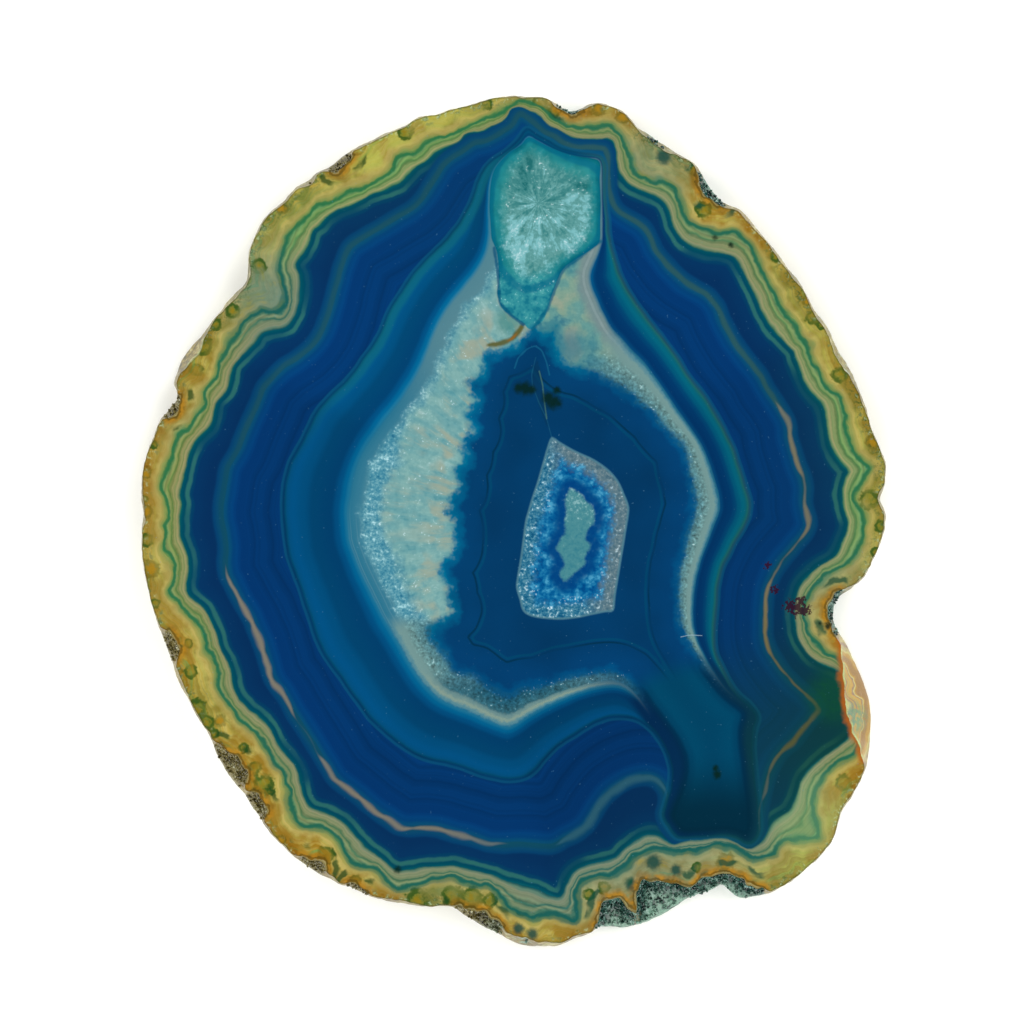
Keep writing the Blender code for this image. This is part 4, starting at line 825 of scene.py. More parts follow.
def paint(red, green, blue):
    """The surface colour that looks, in this light, like the given screen colour from 0 to 255."""
    levels = []
    for value in (red, green, blue):
        share = value / 255
        linear = share / 12.92 if share <= 0.04045 else ((share + 0.055) / 1.055) ** 2.4
        levels.append(min(linear / STONE_LIGHT, 0.95))
    return (*levels, 1.0)


class Shade:
    """Builds one material from short node calls. Values are sockets or plain numbers."""

    def __init__(self, name):
        self.material = bpy.data.materials.new(name)
        self.material.use_nodes = True
        self.nodes = self.material.node_tree.nodes
        self.links = self.material.node_tree.links
        self.shader = self.nodes["Principled BSDF"]
        self.place = self.nodes.new("ShaderNodeTexCoord").outputs["Object"]
        self.fields = {}

    def connect(self, value, socket):
        if isinstance(value, bpy.types.NodeSocket):
            self.links.new(value, socket)
        else:
            socket.default_value = value

    def field(self, name):
        """One of the mesh's band fields."""
        if name not in self.fields:
            node = self.nodes.new("ShaderNodeAttribute")
            node.attribute_type = "GEOMETRY"
            node.attribute_name = name
            self.fields[name] = node.outputs["Fac"]
        return self.fields[name]

    def math(self, operation, first, second=0.0, third=0.0, clamp=False):
        node = self.nodes.new("ShaderNodeMath")
        node.operation = operation
        node.use_clamp = clamp
        for value, socket in zip((first, second, third), node.inputs):
            self.connect(value, socket)
        return node.outputs[0]

    def times(self, first, *others):
        for other in others:
            first = self.math("MULTIPLY", first, other)
        return first

    def scaled(self, value, factor, plus):
        """The value times a factor, with something added."""
        return self.math("MULTIPLY_ADD", value, factor, plus)

    def more(self, value, *noises):
        """The value plus each noise times the amount that follows it. A noise's middle adds nothing."""
        for cloudy, amount in zip(noises[::2], noises[1::2]):
            value = self.scaled(self.math("SUBTRACT", cloudy, 0.5), amount, value)
        return value

    def vector(self, operation, first, second=(0.0, 0.0, 0.0), scale=1.0):
        node = self.nodes.new("ShaderNodeVectorMath")
        node.operation = operation
        self.connect(first, node.inputs[0])
        if operation == "SCALE":
            self.connect(scale, node.inputs["Scale"])
        elif operation not in ("LENGTH", "NORMALIZE"):
            self.connect(second, node.inputs[1])
        return node.outputs["Value" if operation == "LENGTH" else "Vector"]

    def step(self, value, start, end):
        """0 up to the start, 1 from the end on, and a smooth rise between them."""
        node = self.nodes.new("ShaderNodeMapRange")
        node.interpolation_type = "SMOOTHSTEP"
        self.connect(value, node.inputs["Value"])
        low, high = (0.0, 1.0) if start < end else (1.0, 0.0)
        for name, number in (("From Min", min(start, end)), ("From Max", max(start, end)),
                             ("To Min", low), ("To Max", high)):
            node.inputs[name].default_value = number
        return node.outputs["Result"]

    def line(self, value, middle, half, soft):
        """1 within half of the middle, and 0 beyond that and the soft edge."""
        apart = self.math("ABSOLUTE", self.math("SUBTRACT", value, middle))
        return self.step(apart, half + soft, half)

    def away(self, middle):
        """The level way from a place on the face, in metres."""
        apart = self.vector("SUBTRACT", self.place, (middle[0] * MM, middle[1] * MM, 0.0))
        return self.vector("MULTIPLY", apart, (1.0, 1.0, 0.0))

    def near(self, middle, inner, outer):
        """1 within the inner distance of a place on the face, and 0 beyond the outer distance."""
        return self.step(self.vector("LENGTH", self.away(middle)), outer * MM, inner * MM)

    def share(self, outside, inside):
        """0 on the outer curve and 1 on the inner one, from the distances inside both."""
        width = self.math("MAXIMUM", self.math("SUBTRACT", outside, inside), 0.05)
        return self.math("DIVIDE", outside, width, clamp=True)

    def ramp(self, value, stops):
        """A colour for each value, from rows of a value and its screen colour, in rising order."""
        low = stops[0][0]
        high = stops[-1][0]
        spread = self.nodes.new("ShaderNodeMapRange")
        self.connect(value, spread.inputs["Value"])
        spread.inputs["From Min"].default_value = low
        spread.inputs["From Max"].default_value = high
        node = self.nodes.new("ShaderNodeValToRGB")
        node.color_ramp.interpolation = "EASE"
        self.links.new(spread.outputs["Result"], node.inputs["Fac"])
        marks = node.color_ramp.elements
        while len(marks) < len(stops):
            marks.new(1.0)
        for mark, (at, *colour) in zip(marks, stops):
            mark.position = (at - low) / (high - low)
            mark.color = paint(*colour)
        return node.outputs["Color"]

    def mix(self, factor, under, over):
        """The over colour laid on the under colour. A colour is a socket or a screen colour."""
        node = self.nodes.new("ShaderNodeMix")
        node.data_type = "RGBA"
        self.connect(factor, node.inputs["Factor"])
        for colour, name in ((under, 6), (over, 7)):
            self.connect(paint(*colour) if isinstance(colour, tuple) else colour, node.inputs[name])
        return node.outputs[2]

    def lay(self, under, over, *amounts):
        """The over colour laid on the under colour, as thick as the product of the amounts."""
        return self.mix(self.times(*amounts), under, over)

    def light(self, colour, amount):
        """The colour times an amount, which may be above 1."""
        return self.vector("SCALE", colour, scale=amount)

    def noise(self, size, detail=2.0, rough=0.5, place=None):
        """Noise from 0 to 1 with features of the given size, in millimetres on the object."""
        node = self.nodes.new("ShaderNodeTexNoise")
        self.connect(self.place if place is None else place, node.inputs["Vector"])
        node.inputs["Scale"].default_value = 1.0 / (size * MM) if place is None else 1.0 / size
        node.inputs["Detail"].default_value = detail
        node.inputs["Roughness"].default_value = rough
        return node.outputs["Fac"]

    def stripes(self, value, size, detail=2.0):
        """Noise along one distance only, which makes thin bands that follow the curves."""
        node = self.nodes.new("ShaderNodeTexNoise")
        node.noise_dimensions = "1D"
        self.connect(value, node.inputs["W"])
        node.inputs["Scale"].default_value = 1.0 / size
        node.inputs["Detail"].default_value = detail
        return node.outputs["Fac"]

    def rays(self, middle, across, along):
        """A place whose noise runs in rays out of the middle: fine across them, long along them."""
        flat = self.away(middle)
        around = self.vector("SCALE", self.vector("NORMALIZE", flat), scale=across)
        out = self.nodes.new("ShaderNodeCombineXYZ")
        self.connect(self.times(self.vector("LENGTH", flat), along / MM), out.inputs["Z"])
        return self.vector("ADD", around, out.outputs["Vector"])

    def bump(self, height, strength, distance):
        node = self.nodes.new("ShaderNodeBump")
        node.inputs["Strength"].default_value = strength
        node.inputs["Distance"].default_value = distance * MM
        self.connect(height, node.inputs["Height"])
        return node.outputs["Normal"]


class StoneShade(Shade):
    """A shade with the noises that all the zones of the stone share."""

    def __init__(self, name):
        super().__init__(name)
        self.soft = self.noise(1.5, 2.0, 0.55)
        self.fine = self.noise(0.75, 3.0, 0.65)
        self.speck = self.noise(0.36, 1.0, 0.5)
        self.cloud = self.field("cloud")
        clusters = self.step(self.cloud, 0.4, 0.6)
        self.glint = self.times(self.step(self.speck, 0.63, 0.76), self.step(self.soft, 0.46, 0.62),
                                self.scaled(clusters, 0.6, 0.4))
        split = self.nodes.new("ShaderNodeSeparateXYZ")
        self.connect(self.place, split.inputs[0])
        self.x = self.math("DIVIDE", split.outputs["X"], MM)
        self.y = self.math("DIVIDE", split.outputs["Y"], MM)
        self.channel = self.near(CHANNEL, 15.0, 19.0)


def rim_colours(shade, green, depth):
    """The rim outside the green line: tan next to the line, then ochre, lime, green, grey and painted
    glints.
    """
    wavy = shade.more(green, shade.cloud, 0.8)
    colour = shade.ramp(wavy, [
        (-6.5, 144, 136, 48), (-4.6, 158, 152, 60), (-3.6, 140, 144, 58), (-2.9, 172, 160, 80),
        (-2.4, 176, 162, 88), (-1.9, 124, 136, 66), (-1.4, 172, 160, 92), (-0.8, 160, 154, 86),
        (-0.45, 138, 148, 82),
        (-0.15, 84, 132, 76), (0.1, 56, 122, 74),
    ])
    bent = shade.more(green, shade.cloud, 2.2)
    layers = shade.stripes(bent, 1.1, 2.0)
    layered = shade.ramp(layers, [
        (0.34, 92, 130, 56), (0.42, 158, 148, 58), (0.5, 200, 176, 96), (0.57, 184, 146, 44),
        (0.66, 112, 150, 80),
    ])
    outer = shade.step(wavy, -0.6, -2.0)
    colour = shade.mix(shade.scaled(outer, 0.5, 0.16), colour, layered)
    mottle = shade.more(layers, shade.cloud, 0.8, shade.soft, 0.3)
    patches = (
        ("lime", 0.75, (172, 180, 80), (0.34, 0.62)), ("leaf", 0.9, (54, 122, 56), (0.64, 0.44)),
        ("grey", 1.0, (92, 130, 120), (0.2, 0.45)), ("amber", 0.9, (156, 114, 20), (0.62, 0.38)),
    )
    for name, amount, tint, (start, end) in patches:
        strength = shade.times(shade.field(name), amount, shade.step(mottle, start, end))
        if name != "grey":
            strength = shade.times(strength, outer)
        colour = shade.mix(strength, colour, tint)
    glow = shade.more(shade.scaled(shade.soft, 0.3, 0.85), shade.fine, 0.14)
    colour = shade.light(colour, shade.more(glow, shade.cloud, 0.3))
    amber_edge = shade.times(shade.field("amber"), shade.step(depth, 3.0, 0.8), 0.7)
    colour = shade.mix(amber_edge, colour, (140, 96, 14))
    spots = shade.times(shade.step(shade.more(shade.soft, shade.fine, 0.3), 0.56, 0.72),
                        shade.step(depth, 2.6, 0.9))
    tint = shade.mix(shade.step(shade.cloud, 0.44, 0.56), (22, 84, 40), (40, 104, 84))
    colour = shade.lay(colour, tint, spots, 0.6)
    moss = shade.times(shade.step(shade.fine, 0.46, 0.6), shade.step(depth, 2.8, 0.6),
                       shade.step(shade.field("leaf"), 0.1, 0.55))
    colour = shade.lay(colour, (40, 74, 26), moss, 0.8)
    burnt = shade.times(shade.step(shade.fine, 0.46, 0.36), shade.step(depth, 2.0, 0.4),
                        shade.field("amber"))
    colour = shade.lay(colour, (98, 62, 14), burnt, 0.6)
    # Painted glints: small pale yellow-green highlights laid on the rim within about 1.7 mm of the outline.
    painted_edge_glints = shade.times(shade.step(shade.more(shade.fine, shade.speck, 0.4), 0.54, 0.66),
                         shade.step(depth, 1.7, 0.4))
    return shade.lay(colour, (200, 216, 164), painted_edge_glints, 0.7)


def eye_colours(shade, colour):
    """The small round eyes of the rim, each with a darker ring."""
    uneven = shade.scaled(shade.step(shade.cloud, 0.36, 0.6), 0.6, 0.18)
    eye = shade.more(shade.field("green_eye"), shade.fine, 0.7, shade.soft, 0.9)
    colour = shade.lay(colour, (104, 112, 26), shade.step(eye, 1.35, 0.85), uneven)
    ring = shade.times(shade.line(eye, 0.9, 0.1, 0.3), uneven)
    colour = shade.mix(ring, colour, (26, 78, 26))
    colour = shade.lay(colour, (150, 124, 26), shade.step(eye, 0.55, 0.15), uneven)
    eye = shade.more(shade.field("ochre_eye"), shade.fine, 0.8, shade.soft, 1.2)
    colour = shade.lay(colour, (96, 90, 22), shade.step(eye, 1.4, 0.95), 0.55)
    colour = shade.lay(colour, (172, 130, 28), shade.step(eye, 0.95, 0.3), 0.8)
    eye = shade.more(shade.field("teal_eye"), shade.fine, 0.8)
    return shade.lay(colour, (14, 72, 66), shade.step(eye, 1.5, 0.5), 0.9)


def hollow_colours(shade, colour):
    """The orange border round each crystal-lined hollow, and the green arcs outside it."""
    apart = shade.more(shade.field("hollow"), shade.soft, 1.2, shade.cloud, 0.8)
    broken = shade.step(shade.cloud, 0.52, 0.66)
    green = shade.times(shade.line(apart, 1.75, 0.25, 0.4), broken)
    arc = shade.mix(shade.field("to_left"), (16, 76, 56), (34, 72, 30))
    colour = shade.lay(colour, arc, green, 0.85)
    border = shade.mix(shade.step(shade.soft, 0.36, 0.64), (132, 92, 22), (178, 128, 34))
    patchy = shade.scaled(shade.step(shade.soft, 0.42, 0.58), 0.4, 0.5)
    colour = shade.lay(colour, border, shade.step(apart, 1.5, 0.6), patchy)
    colour = shade.lay(colour, (78, 62, 20), shade.line(apart, 0.3, 0.08, 0.16), 0.6)
    return shade.lay(colour, (168, 160, 112), shade.step(apart, 0.16, 0.04), 0.7)


def wall_colours(shade, colour, green):
    """The wall's skin, crystal-lined hollows and fracture, and a partly painted highlight on the chip's
    upper edge.
    """
    outside = shade.step(shade.field("edge"), 0.04, -0.08)
    skin = shade.ramp(shade.more(shade.fine, shade.cloud, 0.35, shade.soft, 0.3), [
        (0.3, 66, 66, 24), (0.44, 120, 104, 36), (0.56, 156, 136, 58), (0.72, 204, 194, 134),
    ])
    solid = shade.math("SUBTRACT", 1.0, shade.step(shade.field("chipped"), 0.35, 0.7))
    colour = shade.lay(colour, skin, outside, solid, 0.75)
    crust = shade.ramp(shade.more(shade.soft, shade.fine, 0.6, shade.speck, 0.3), [
        (0.3, 4, 34, 28), (0.42, 14, 62, 54), (0.53, 46, 98, 84), (0.63, 94, 142, 124),
        (0.76, 166, 202, 190),
    ])
    warm_crust = shade.ramp(shade.more(shade.fine, shade.speck, 0.4), [
        (0.28, 52, 46, 18), (0.42, 94, 84, 36), (0.53, 128, 116, 60), (0.64, 150, 142, 96),
        (0.78, 190, 190, 158),
    ])
    pale = shade.times(shade.step(shade.field("edge"), -0.6, -2.6), shade.step(shade.fine, 0.36, 0.52), 0.8)
    crust = shade.mix(pale, crust, (146, 190, 164))
    crust = shade.mix(shade.field("to_left"), crust, warm_crust)
    drusy = shade.more(shade.field("drusy"), shade.soft, 0.9, shade.fine, 0.5)
    hollowed = shade.times(shade.step(drusy, 0.4, 0.75), outside)
    colour = shade.mix(hollowed, colour, crust)
    layers = shade.stripes(shade.more(green, shade.cloud, 2.6), 2.2, 2.0)
    broken = shade.ramp(layers, [
        (0.32, 160, 122, 62), (0.4, 186, 146, 54), (0.47, 204, 194, 118), (0.54, 150, 122, 96),
        (0.62, 198, 158, 64), (0.7, 112, 158, 112),
    ])
    patch = shade.times(shade.near((49.9, -28.8), 0.8, 3.0), shade.step(shade.fine, 0.36, 0.56))
    broken = shade.lay(broken, (92, 150, 116), patch, 0.8)
    broken = shade.mix(shade.field("to_left"), broken, skin)
    fractured = shade.times(shade.step(shade.field("chipped"), 0.35, 0.7), outside)
    colour = shade.mix(fractured, colour, broken)
    # A pale yellow-green line along the chip's upper edge: partly its own colour, partly a painted
    # highlight.
    lip_with_painted_highlight = shade.times(shade.line(shade.field("edge"), -0.12, 0.1, 0.16),
                      shade.step(shade.field("chipped"), 0.5, 0.9), shade.step(shade.soft, 0.4, 0.56))
    return shade.lay(colour, (180, 206, 126), lip_with_painted_highlight, 0.8)


def between_colours(shade, green, teal):
    """The thin tan and green bands between the green line and the teal edge."""
    share = shade.more(shade.share(green, teal), shade.cloud, 0.22)
    colour = shade.ramp(share, [
        (0, 64, 122, 74), (0.09, 106, 142, 84), (0.2, 142, 146, 88), (0.3, 134, 140, 78),
        (0.38, 100, 124, 62), (0.46, 134, 138, 78), (0.58, 158, 148, 96), (0.68, 130, 138, 84),
        (0.76, 160, 150, 104), (0.86, 146, 146, 102), (0.94, 88, 132, 96), (1, 14, 92, 88),
    ])
    leaf = shade.ramp(share, [
        (0, 36, 112, 80), (0.15, 70, 146, 92), (0.3, 112, 166, 98), (0.45, 62, 128, 76),
        (0.62, 120, 158, 98), (0.76, 158, 166, 110), (0.9, 90, 150, 104), (1, 14, 96, 90),
    ])
    slate = shade.ramp(share, [
        (0, 18, 88, 90), (0.15, 54, 112, 102), (0.26, 116, 138, 114), (0.39, 36, 102, 100),
        (0.52, 104, 132, 112), (0.7, 124, 139, 119), (0.84, 74, 126, 116), (1, 6, 88, 104),
    ])
    colour = shade.lay(colour, leaf, shade.field("inner_leaf"), 0.72)
    colour = shade.lay(colour, slate, shade.field("inner_grey"), 0.85)
    thin = shade.stripes(shade.more(teal, shade.cloud, 0.6), 0.55, 2.0)
    glow = shade.scaled(shade.math("SUBTRACT", thin, 0.5), 1.1, 0.93)
    return shade.light(colour, shade.more(glow, shade.fine, 0.14))


def blue_colours(shade, teal, streak, pale, quartz):
    """From the teal edge inwards to the quartz: navy, the streak, blue, the pale line and teal-blue."""
    colour = shade.ramp(teal, [
        (0, 0, 76, 92), (0.45, 0, 70, 90), (0.62, 0, 66, 94), (1.45, 2, 60, 96),
        (1.95, 4, 50, 94), (4, 4, 46, 90),
    ])
    thread = shade.more(teal, shade.cloud, 0.5)
    faint = shade.scaled(shade.step(shade.field("drift"), 0.3, 0.62), 0.55, 0.1)
    colour = shade.lay(colour, (52, 118, 104), shade.line(thread, 0.92, 0.14, 0.34), faint)
    into_streak = shade.ramp(streak, [
        (-1.2, 4, 50, 94), (-0.75, 4, 62, 106), (-0.15, 8, 70, 106), (0.15, 12, 72, 98),
        (0.65, 14, 74, 96), (0.95, 6, 74, 112), (1.6, 2, 62, 114), (2.8, 2, 54, 110),
        (6, 2, 53, 106),
    ])
    colour = shade.mix(shade.step(streak, -1.25, -0.65), colour, into_streak)
    beige = shade.mix(shade.field("orange"), (138, 128, 110), (146, 122, 46))
    beige = shade.mix(shade.field("pale_blue"), beige, (48, 98, 118))
    middle = shade.more(streak, shade.cloud, 0.6)
    apart = shade.math("ABSOLUTE", shade.math("SUBTRACT", middle, 0.4))
    dim = shade.times(shade.line(middle, 0.4, 0.12, 0.46), shade.step(shade.y, 4.0, 16.0), 0.52)
    dim = shade.times(dim, shade.scaled(shade.step(shade.x, 0.0, 12.0), 0.7, 0.3))
    colour = shade.mix(dim, colour, (52, 92, 86))
    width = shade.scaled(shade.times(shade.field("beige"), shade.field("wide")), 0.58, 0.02)
    across = shade.step(shade.math("DIVIDE", apart, width), 1.3, 0.1)
    strength = shade.times(shade.field("beige"), shade.field("wide"))
    colour = shade.lay(colour, beige, across, shade.step(strength, 0.05, 0.55), 0.8)
    striped = shade.scaled(shade.stripes(streak, 1.3, 3.0), 0.9, -0.45)
    colour = shade.light(colour, shade.scaled(striped, shade.step(streak, 0.9, 2.4), 1.0))

    share = shade.share(pale, quartz)
    left = shade.ramp(share, [
        (0, 2, 76, 118), (0.14, 0, 80, 130), (0.3, 0, 76, 122), (0.46, 0, 66, 108),
        (0.74, 0, 62, 106), (0.84, 0, 76, 124), (0.93, 0, 96, 142), (1, 24, 112, 148),
    ])
    right = shade.ramp(share, [
        (0, 24, 96, 98), (0.06, 10, 94, 106), (0.2, 2, 96, 120), (0.34, 0, 84, 116),
        (0.48, 0, 64, 108), (0.6, 0, 54, 102), (0.8, 0, 50, 98), (0.94, 2, 66, 112),
        (1, 30, 98, 124),
    ])
    to_right = shade.times(shade.step(shade.x, 8.0, 14.0), shade.step(shade.y, -27.0, -21.0))
    inner = shade.mix(to_right, left, right)
    in_channel = shade.times(shade.channel, shade.step(quartz, -1.6, -0.3))
    inner = shade.mix(in_channel, inner, (2, 44, 84))
    colour = shade.mix(shade.step(pale, -0.05, 0.25), colour, inner)
    colour = shade.lay(colour, (10, 84, 118), shade.line(pale, -0.4, 0.1, 0.2), 0.6)
    line = shade.mix(to_right, (0, 62, 82), (40, 98, 84))
    colour = shade.lay(colour, line, shade.line(pale, 0.04, 0.1, 0.36), 0.45)
    soft_band = shade.times(shade.line(pale, 0.65, 0.25, 0.75), shade.step(shade.y, 8.0, 26.0),
                            shade.step(shade.x, 2.0, -4.0), 0.6)
    colour = shade.mix(soft_band, colour, (14, 102, 116))
    shadow = shade.scaled(shade.field("dark"), -0.5, 1.1)
    colour = shade.light(colour, shadow)
    return shade.lay(colour, (14, 60, 48), shade.field("sea_green"), 0.85)


def quartz_colours(shade, quartz, core):
    """The crescent of quartz: a smooth grey rind, a band of bright crystals, then pale columns."""
    depth = shade.more(quartz, shade.soft, 1.8, shade.cloud, 1.6)
    columns = shade.noise(1.0, 3.0, 0.65, place=shade.rays((12.0, -1.0), 17.0, 0.13))
    grains = shade.more(shade.scaled(columns, 0.35, shade.times(shade.fine, 0.65)), shade.speck, 0.4)
    crystals = shade.ramp(grains, [
        (0.3, 38, 108, 138), (0.42, 68, 138, 160), (0.54, 100, 160, 174), (0.68, 164, 214, 222),
    ])
    streaked = shade.more(shade.scaled(columns, 0.55, 0.225), shade.soft, 0.4)
    plates = shade.ramp(streaked, [
        (0.32, 88, 150, 158), (0.45, 110, 163, 165), (0.56, 127, 173, 170), (0.7, 154, 192, 190),
    ])
    plates = shade.light(plates, shade.scaled(shade.fine, 0.3, 0.85))
    high = shade.scaled(shade.step(shade.y, -6.0, 14.0), 0.6, 0.3)
    warm = shade.times(shade.step(depth, 3.0, 6.4), shade.step(shade.cloud, 0.4, 0.62), high)
    warm = shade.times(warm, shade.step(columns, 0.36, 0.62))
    plates = shade.lay(plates, (160, 164, 144), warm, 0.6)
    inner_edge = shade.times(shade.step(core, -5.5, -1.8), shade.step(columns, 0.34, 0.58),
                             shade.step(shade.more(shade.cloud, shade.soft, 0.3), 0.42, 0.6))
    plates = shade.lay(plates, (158, 165, 143), inner_edge, 0.58)
    low = shade.step(shade.y, 16.0, 8.0)
    start = shade.math("SUBTRACT", depth, shade.scaled(low, 2.6, 2.4))
    colour = shade.mix(shade.step(start, -0.8, 1.4), crystals, plates)
    rind = shade.ramp(quartz, [
        (0, 30, 106, 138), (0.5, 42, 114, 141), (1.2, 50, 118, 143), (2.6, 70, 130, 148),
    ])
    rind = shade.lay(rind, (92, 136, 144), shade.step(shade.y, 14.0, 28.0), 0.7)
    striae = shade.times(shade.step(shade.stripes(quartz, 0.3, 1.0), 0.5, 0.62),
                         shade.step(shade.y, 4.0, -4.0), 0.25)
    rind = shade.mix(striae, rind, (110, 156, 168))
    colour = shade.mix(shade.step(depth, 2.9, 1.5), colour, rind)
    colour = shade.lay(colour, (206, 236, 240), shade.glint, shade.step(depth, 1.4, 2.6), 0.85)

    right_side = shade.times(shade.step(shade.x, 1.0, 4.0), shade.step(shade.y, 16.0, 22.0))
    smooth = shade.ramp(shade.more(shade.cloud, shade.soft, 0.35), [
        (0.3, 62, 128, 138), (0.46, 98, 150, 144), (0.58, 124, 158, 140), (0.74, 146, 160, 138),
    ])
    blotch = shade.math("MAXIMUM", shade.near((8.2, 25.4), 0.8, 4.2),
                        shade.times(shade.step(core, -3.4, -0.8), shade.step(shade.soft, 0.52, 0.34)))
    smooth = shade.lay(smooth, (42, 112, 134), blotch, 0.75)
    smooth = shade.mix(shade.step(shade.more(quartz, shade.soft, 1.4), 2.8, 1.0), smooth, (118, 140, 140))
    smooth = shade.lay(smooth, (150, 168, 168), shade.line(quartz, 0.9, 0.1, 0.16), 0.4)
    smooth = shade.light(smooth, shade.scaled(shade.fine, 0.3, 0.85))
    colour = shade.lay(colour, smooth, right_side, 0.92)

    width = shade.math("SUBTRACT", quartz, core)
    share = shade.more(shade.share(quartz, core), shade.fine, 0.2)
    wing = shade.ramp(share, [
        (0, 40, 110, 140), (0.1, 86, 136, 148), (0.22, 114, 150, 148), (0.36, 112, 148, 146),
        (0.5, 104, 144, 144), (0.8, 84, 132, 140), (1, 28, 94, 126),
    ])
    dark_wing = shade.ramp(share, [
        (0, 36, 108, 138), (0.1, 84, 134, 146), (0.22, 130, 154, 142), (0.34, 104, 138, 138),
        (0.46, 50, 100, 114), (0.8, 34, 88, 108), (1, 8, 74, 114),
    ])
    wing = shade.mix(shade.step(shade.y, -21.0, -25.0), wing, dark_wing)
    arm = shade.times(shade.step(shade.x, 7.0, 16.0), shade.step(shade.y, -18.0, -21.0), 0.75)
    wing = shade.mix(arm, wing, (16, 78, 110))
    speckled = shade.step(share, 0.34, 0.52)
    rough = shade.more(shade.fine, shade.speck, 0.7)
    uneven = shade.scaled(shade.math("SUBTRACT", rough, 0.5), 1.9, 0.98)
    uneven = shade.math("MAXIMUM", uneven, 0.35)
    uneven = shade.math("ADD", shade.times(uneven, speckled), shade.math("SUBTRACT", 1.0, speckled))
    wing = shade.light(wing, uneven)
    colour = shade.mix(shade.step(width, 7.5, 5.0), colour, wing)
    sparks = shade.times(shade.glint, speckled, shade.step(width, 7.5, 5.0))
    return shade.mix(sparks, colour, (196, 228, 228))


def top_pocket_colours(shade, top, ray_field):
    """White quartz rays in a teal halo, in the pocket at the top of the slice, and its neck below."""
    rays = shade.noise(1.0, 3.0, 0.6, place=shade.rays((3.6, 46.5), 4.6, 0.3))
    mixed = shade.scaled(rays, 0.7, shade.times(shade.fine, 0.3))
    mixed = shade.more(mixed, shade.cloud, 0.3, shade.speck, 0.16)
    lower = shade.step(shade.y, 54.0, 41.0)
    mixed = shade.scaled(lower, 0.15, shade.math("SUBTRACT", mixed, 0.065))
    crystals = shade.ramp(mixed, [
        (0.3, 32, 108, 110), (0.42, 62, 132, 132), (0.53, 92, 154, 152), (0.64, 122, 186, 190),
        (0.8, 206, 236, 240),
    ])
    halo = shade.ramp(top, [
        (0, 0, 92, 110), (0.4, 10, 108, 122), (0.9, 28, 128, 136), (2.4, 48, 142, 142),
    ])
    halo = shade.light(halo, shade.scaled(shade.soft, 0.6, 0.7))
    neck = shade.ramp(shade.more(shade.soft, shade.fine, 0.5), [
        (0.3, 22, 116, 136), (0.46, 42, 136, 148), (0.6, 54, 146, 154), (0.76, 80, 164, 166),
    ])
    halo = shade.mix(shade.step(shade.y, 37.5, 34.5), halo, neck)
    halo = shade.lay(halo, (4, 104, 132), shade.line(ray_field, -1.9, 0.3, 0.5), 0.7)
    colour = shade.lay(halo, (176, 232, 236), shade.glint, shade.step(shade.y, 41.0, 36.0), 0.7)
    inside = shade.step(shade.more(ray_field, shade.fine, 2.4), -0.9, 1.0)
    colour = shade.mix(inside, colour, crystals)
    return shade.lay(colour, (232, 252, 252), shade.glint, inside, 0.8)


def core_colours(shade, core):
    """The dark blue heart of the slice and the channel that leads out of it."""
    ragged = shade.more(core, shade.soft, 1.8, shade.cloud, 1.2)
    colour = shade.ramp(ragged, [
        (-0.4, 34, 122, 142), (0.3, 0, 106, 142), (1.1, 0, 88, 130), (2.1, 2, 62, 108),
        (6, 2, 57, 100),
    ])
    quiet = shade.ramp(ragged, [
        (-0.4, 16, 86, 124), (0.4, 0, 76, 124), (1.4, 2, 62, 110), (6, 2, 57, 100),
    ])
    to_right = shade.step(shade.x, 6.0, 14.0)
    narrow = shade.math("MAXIMUM", to_right, shade.step(shade.y, -14.0, -20.0))
    colour = shade.mix(narrow, colour, quiet)
    fade = shade.scaled(shade.step(shade.field("drift"), 0.3, 0.6), 0.5, 0.15)
    colour = shade.lay(colour, (0, 42, 60), shade.line(core, 4.3, 0.05, 0.16), fade)
    colour = shade.lay(colour, (0, 78, 108), shade.line(core, 4.75, 0.08, 0.2), 0.4)
    colour = shade.light(colour, shade.scaled(shade.field("drift"), 0.4, 0.8))
    channel = shade.ramp(core, [
        (-0.2, 2, 40, 70), (0.4, 0, 46, 76), (1.1, 0, 64, 96), (2, 0, 70, 102),
        (4.5, 0, 66, 98),
    ])
    deep = shade.step(shade.y, -33.0, -43.0)
    channel = shade.lay(channel, (1, 40, 58), deep, 0.9)
    return shade.mix(shade.channel, colour, channel)


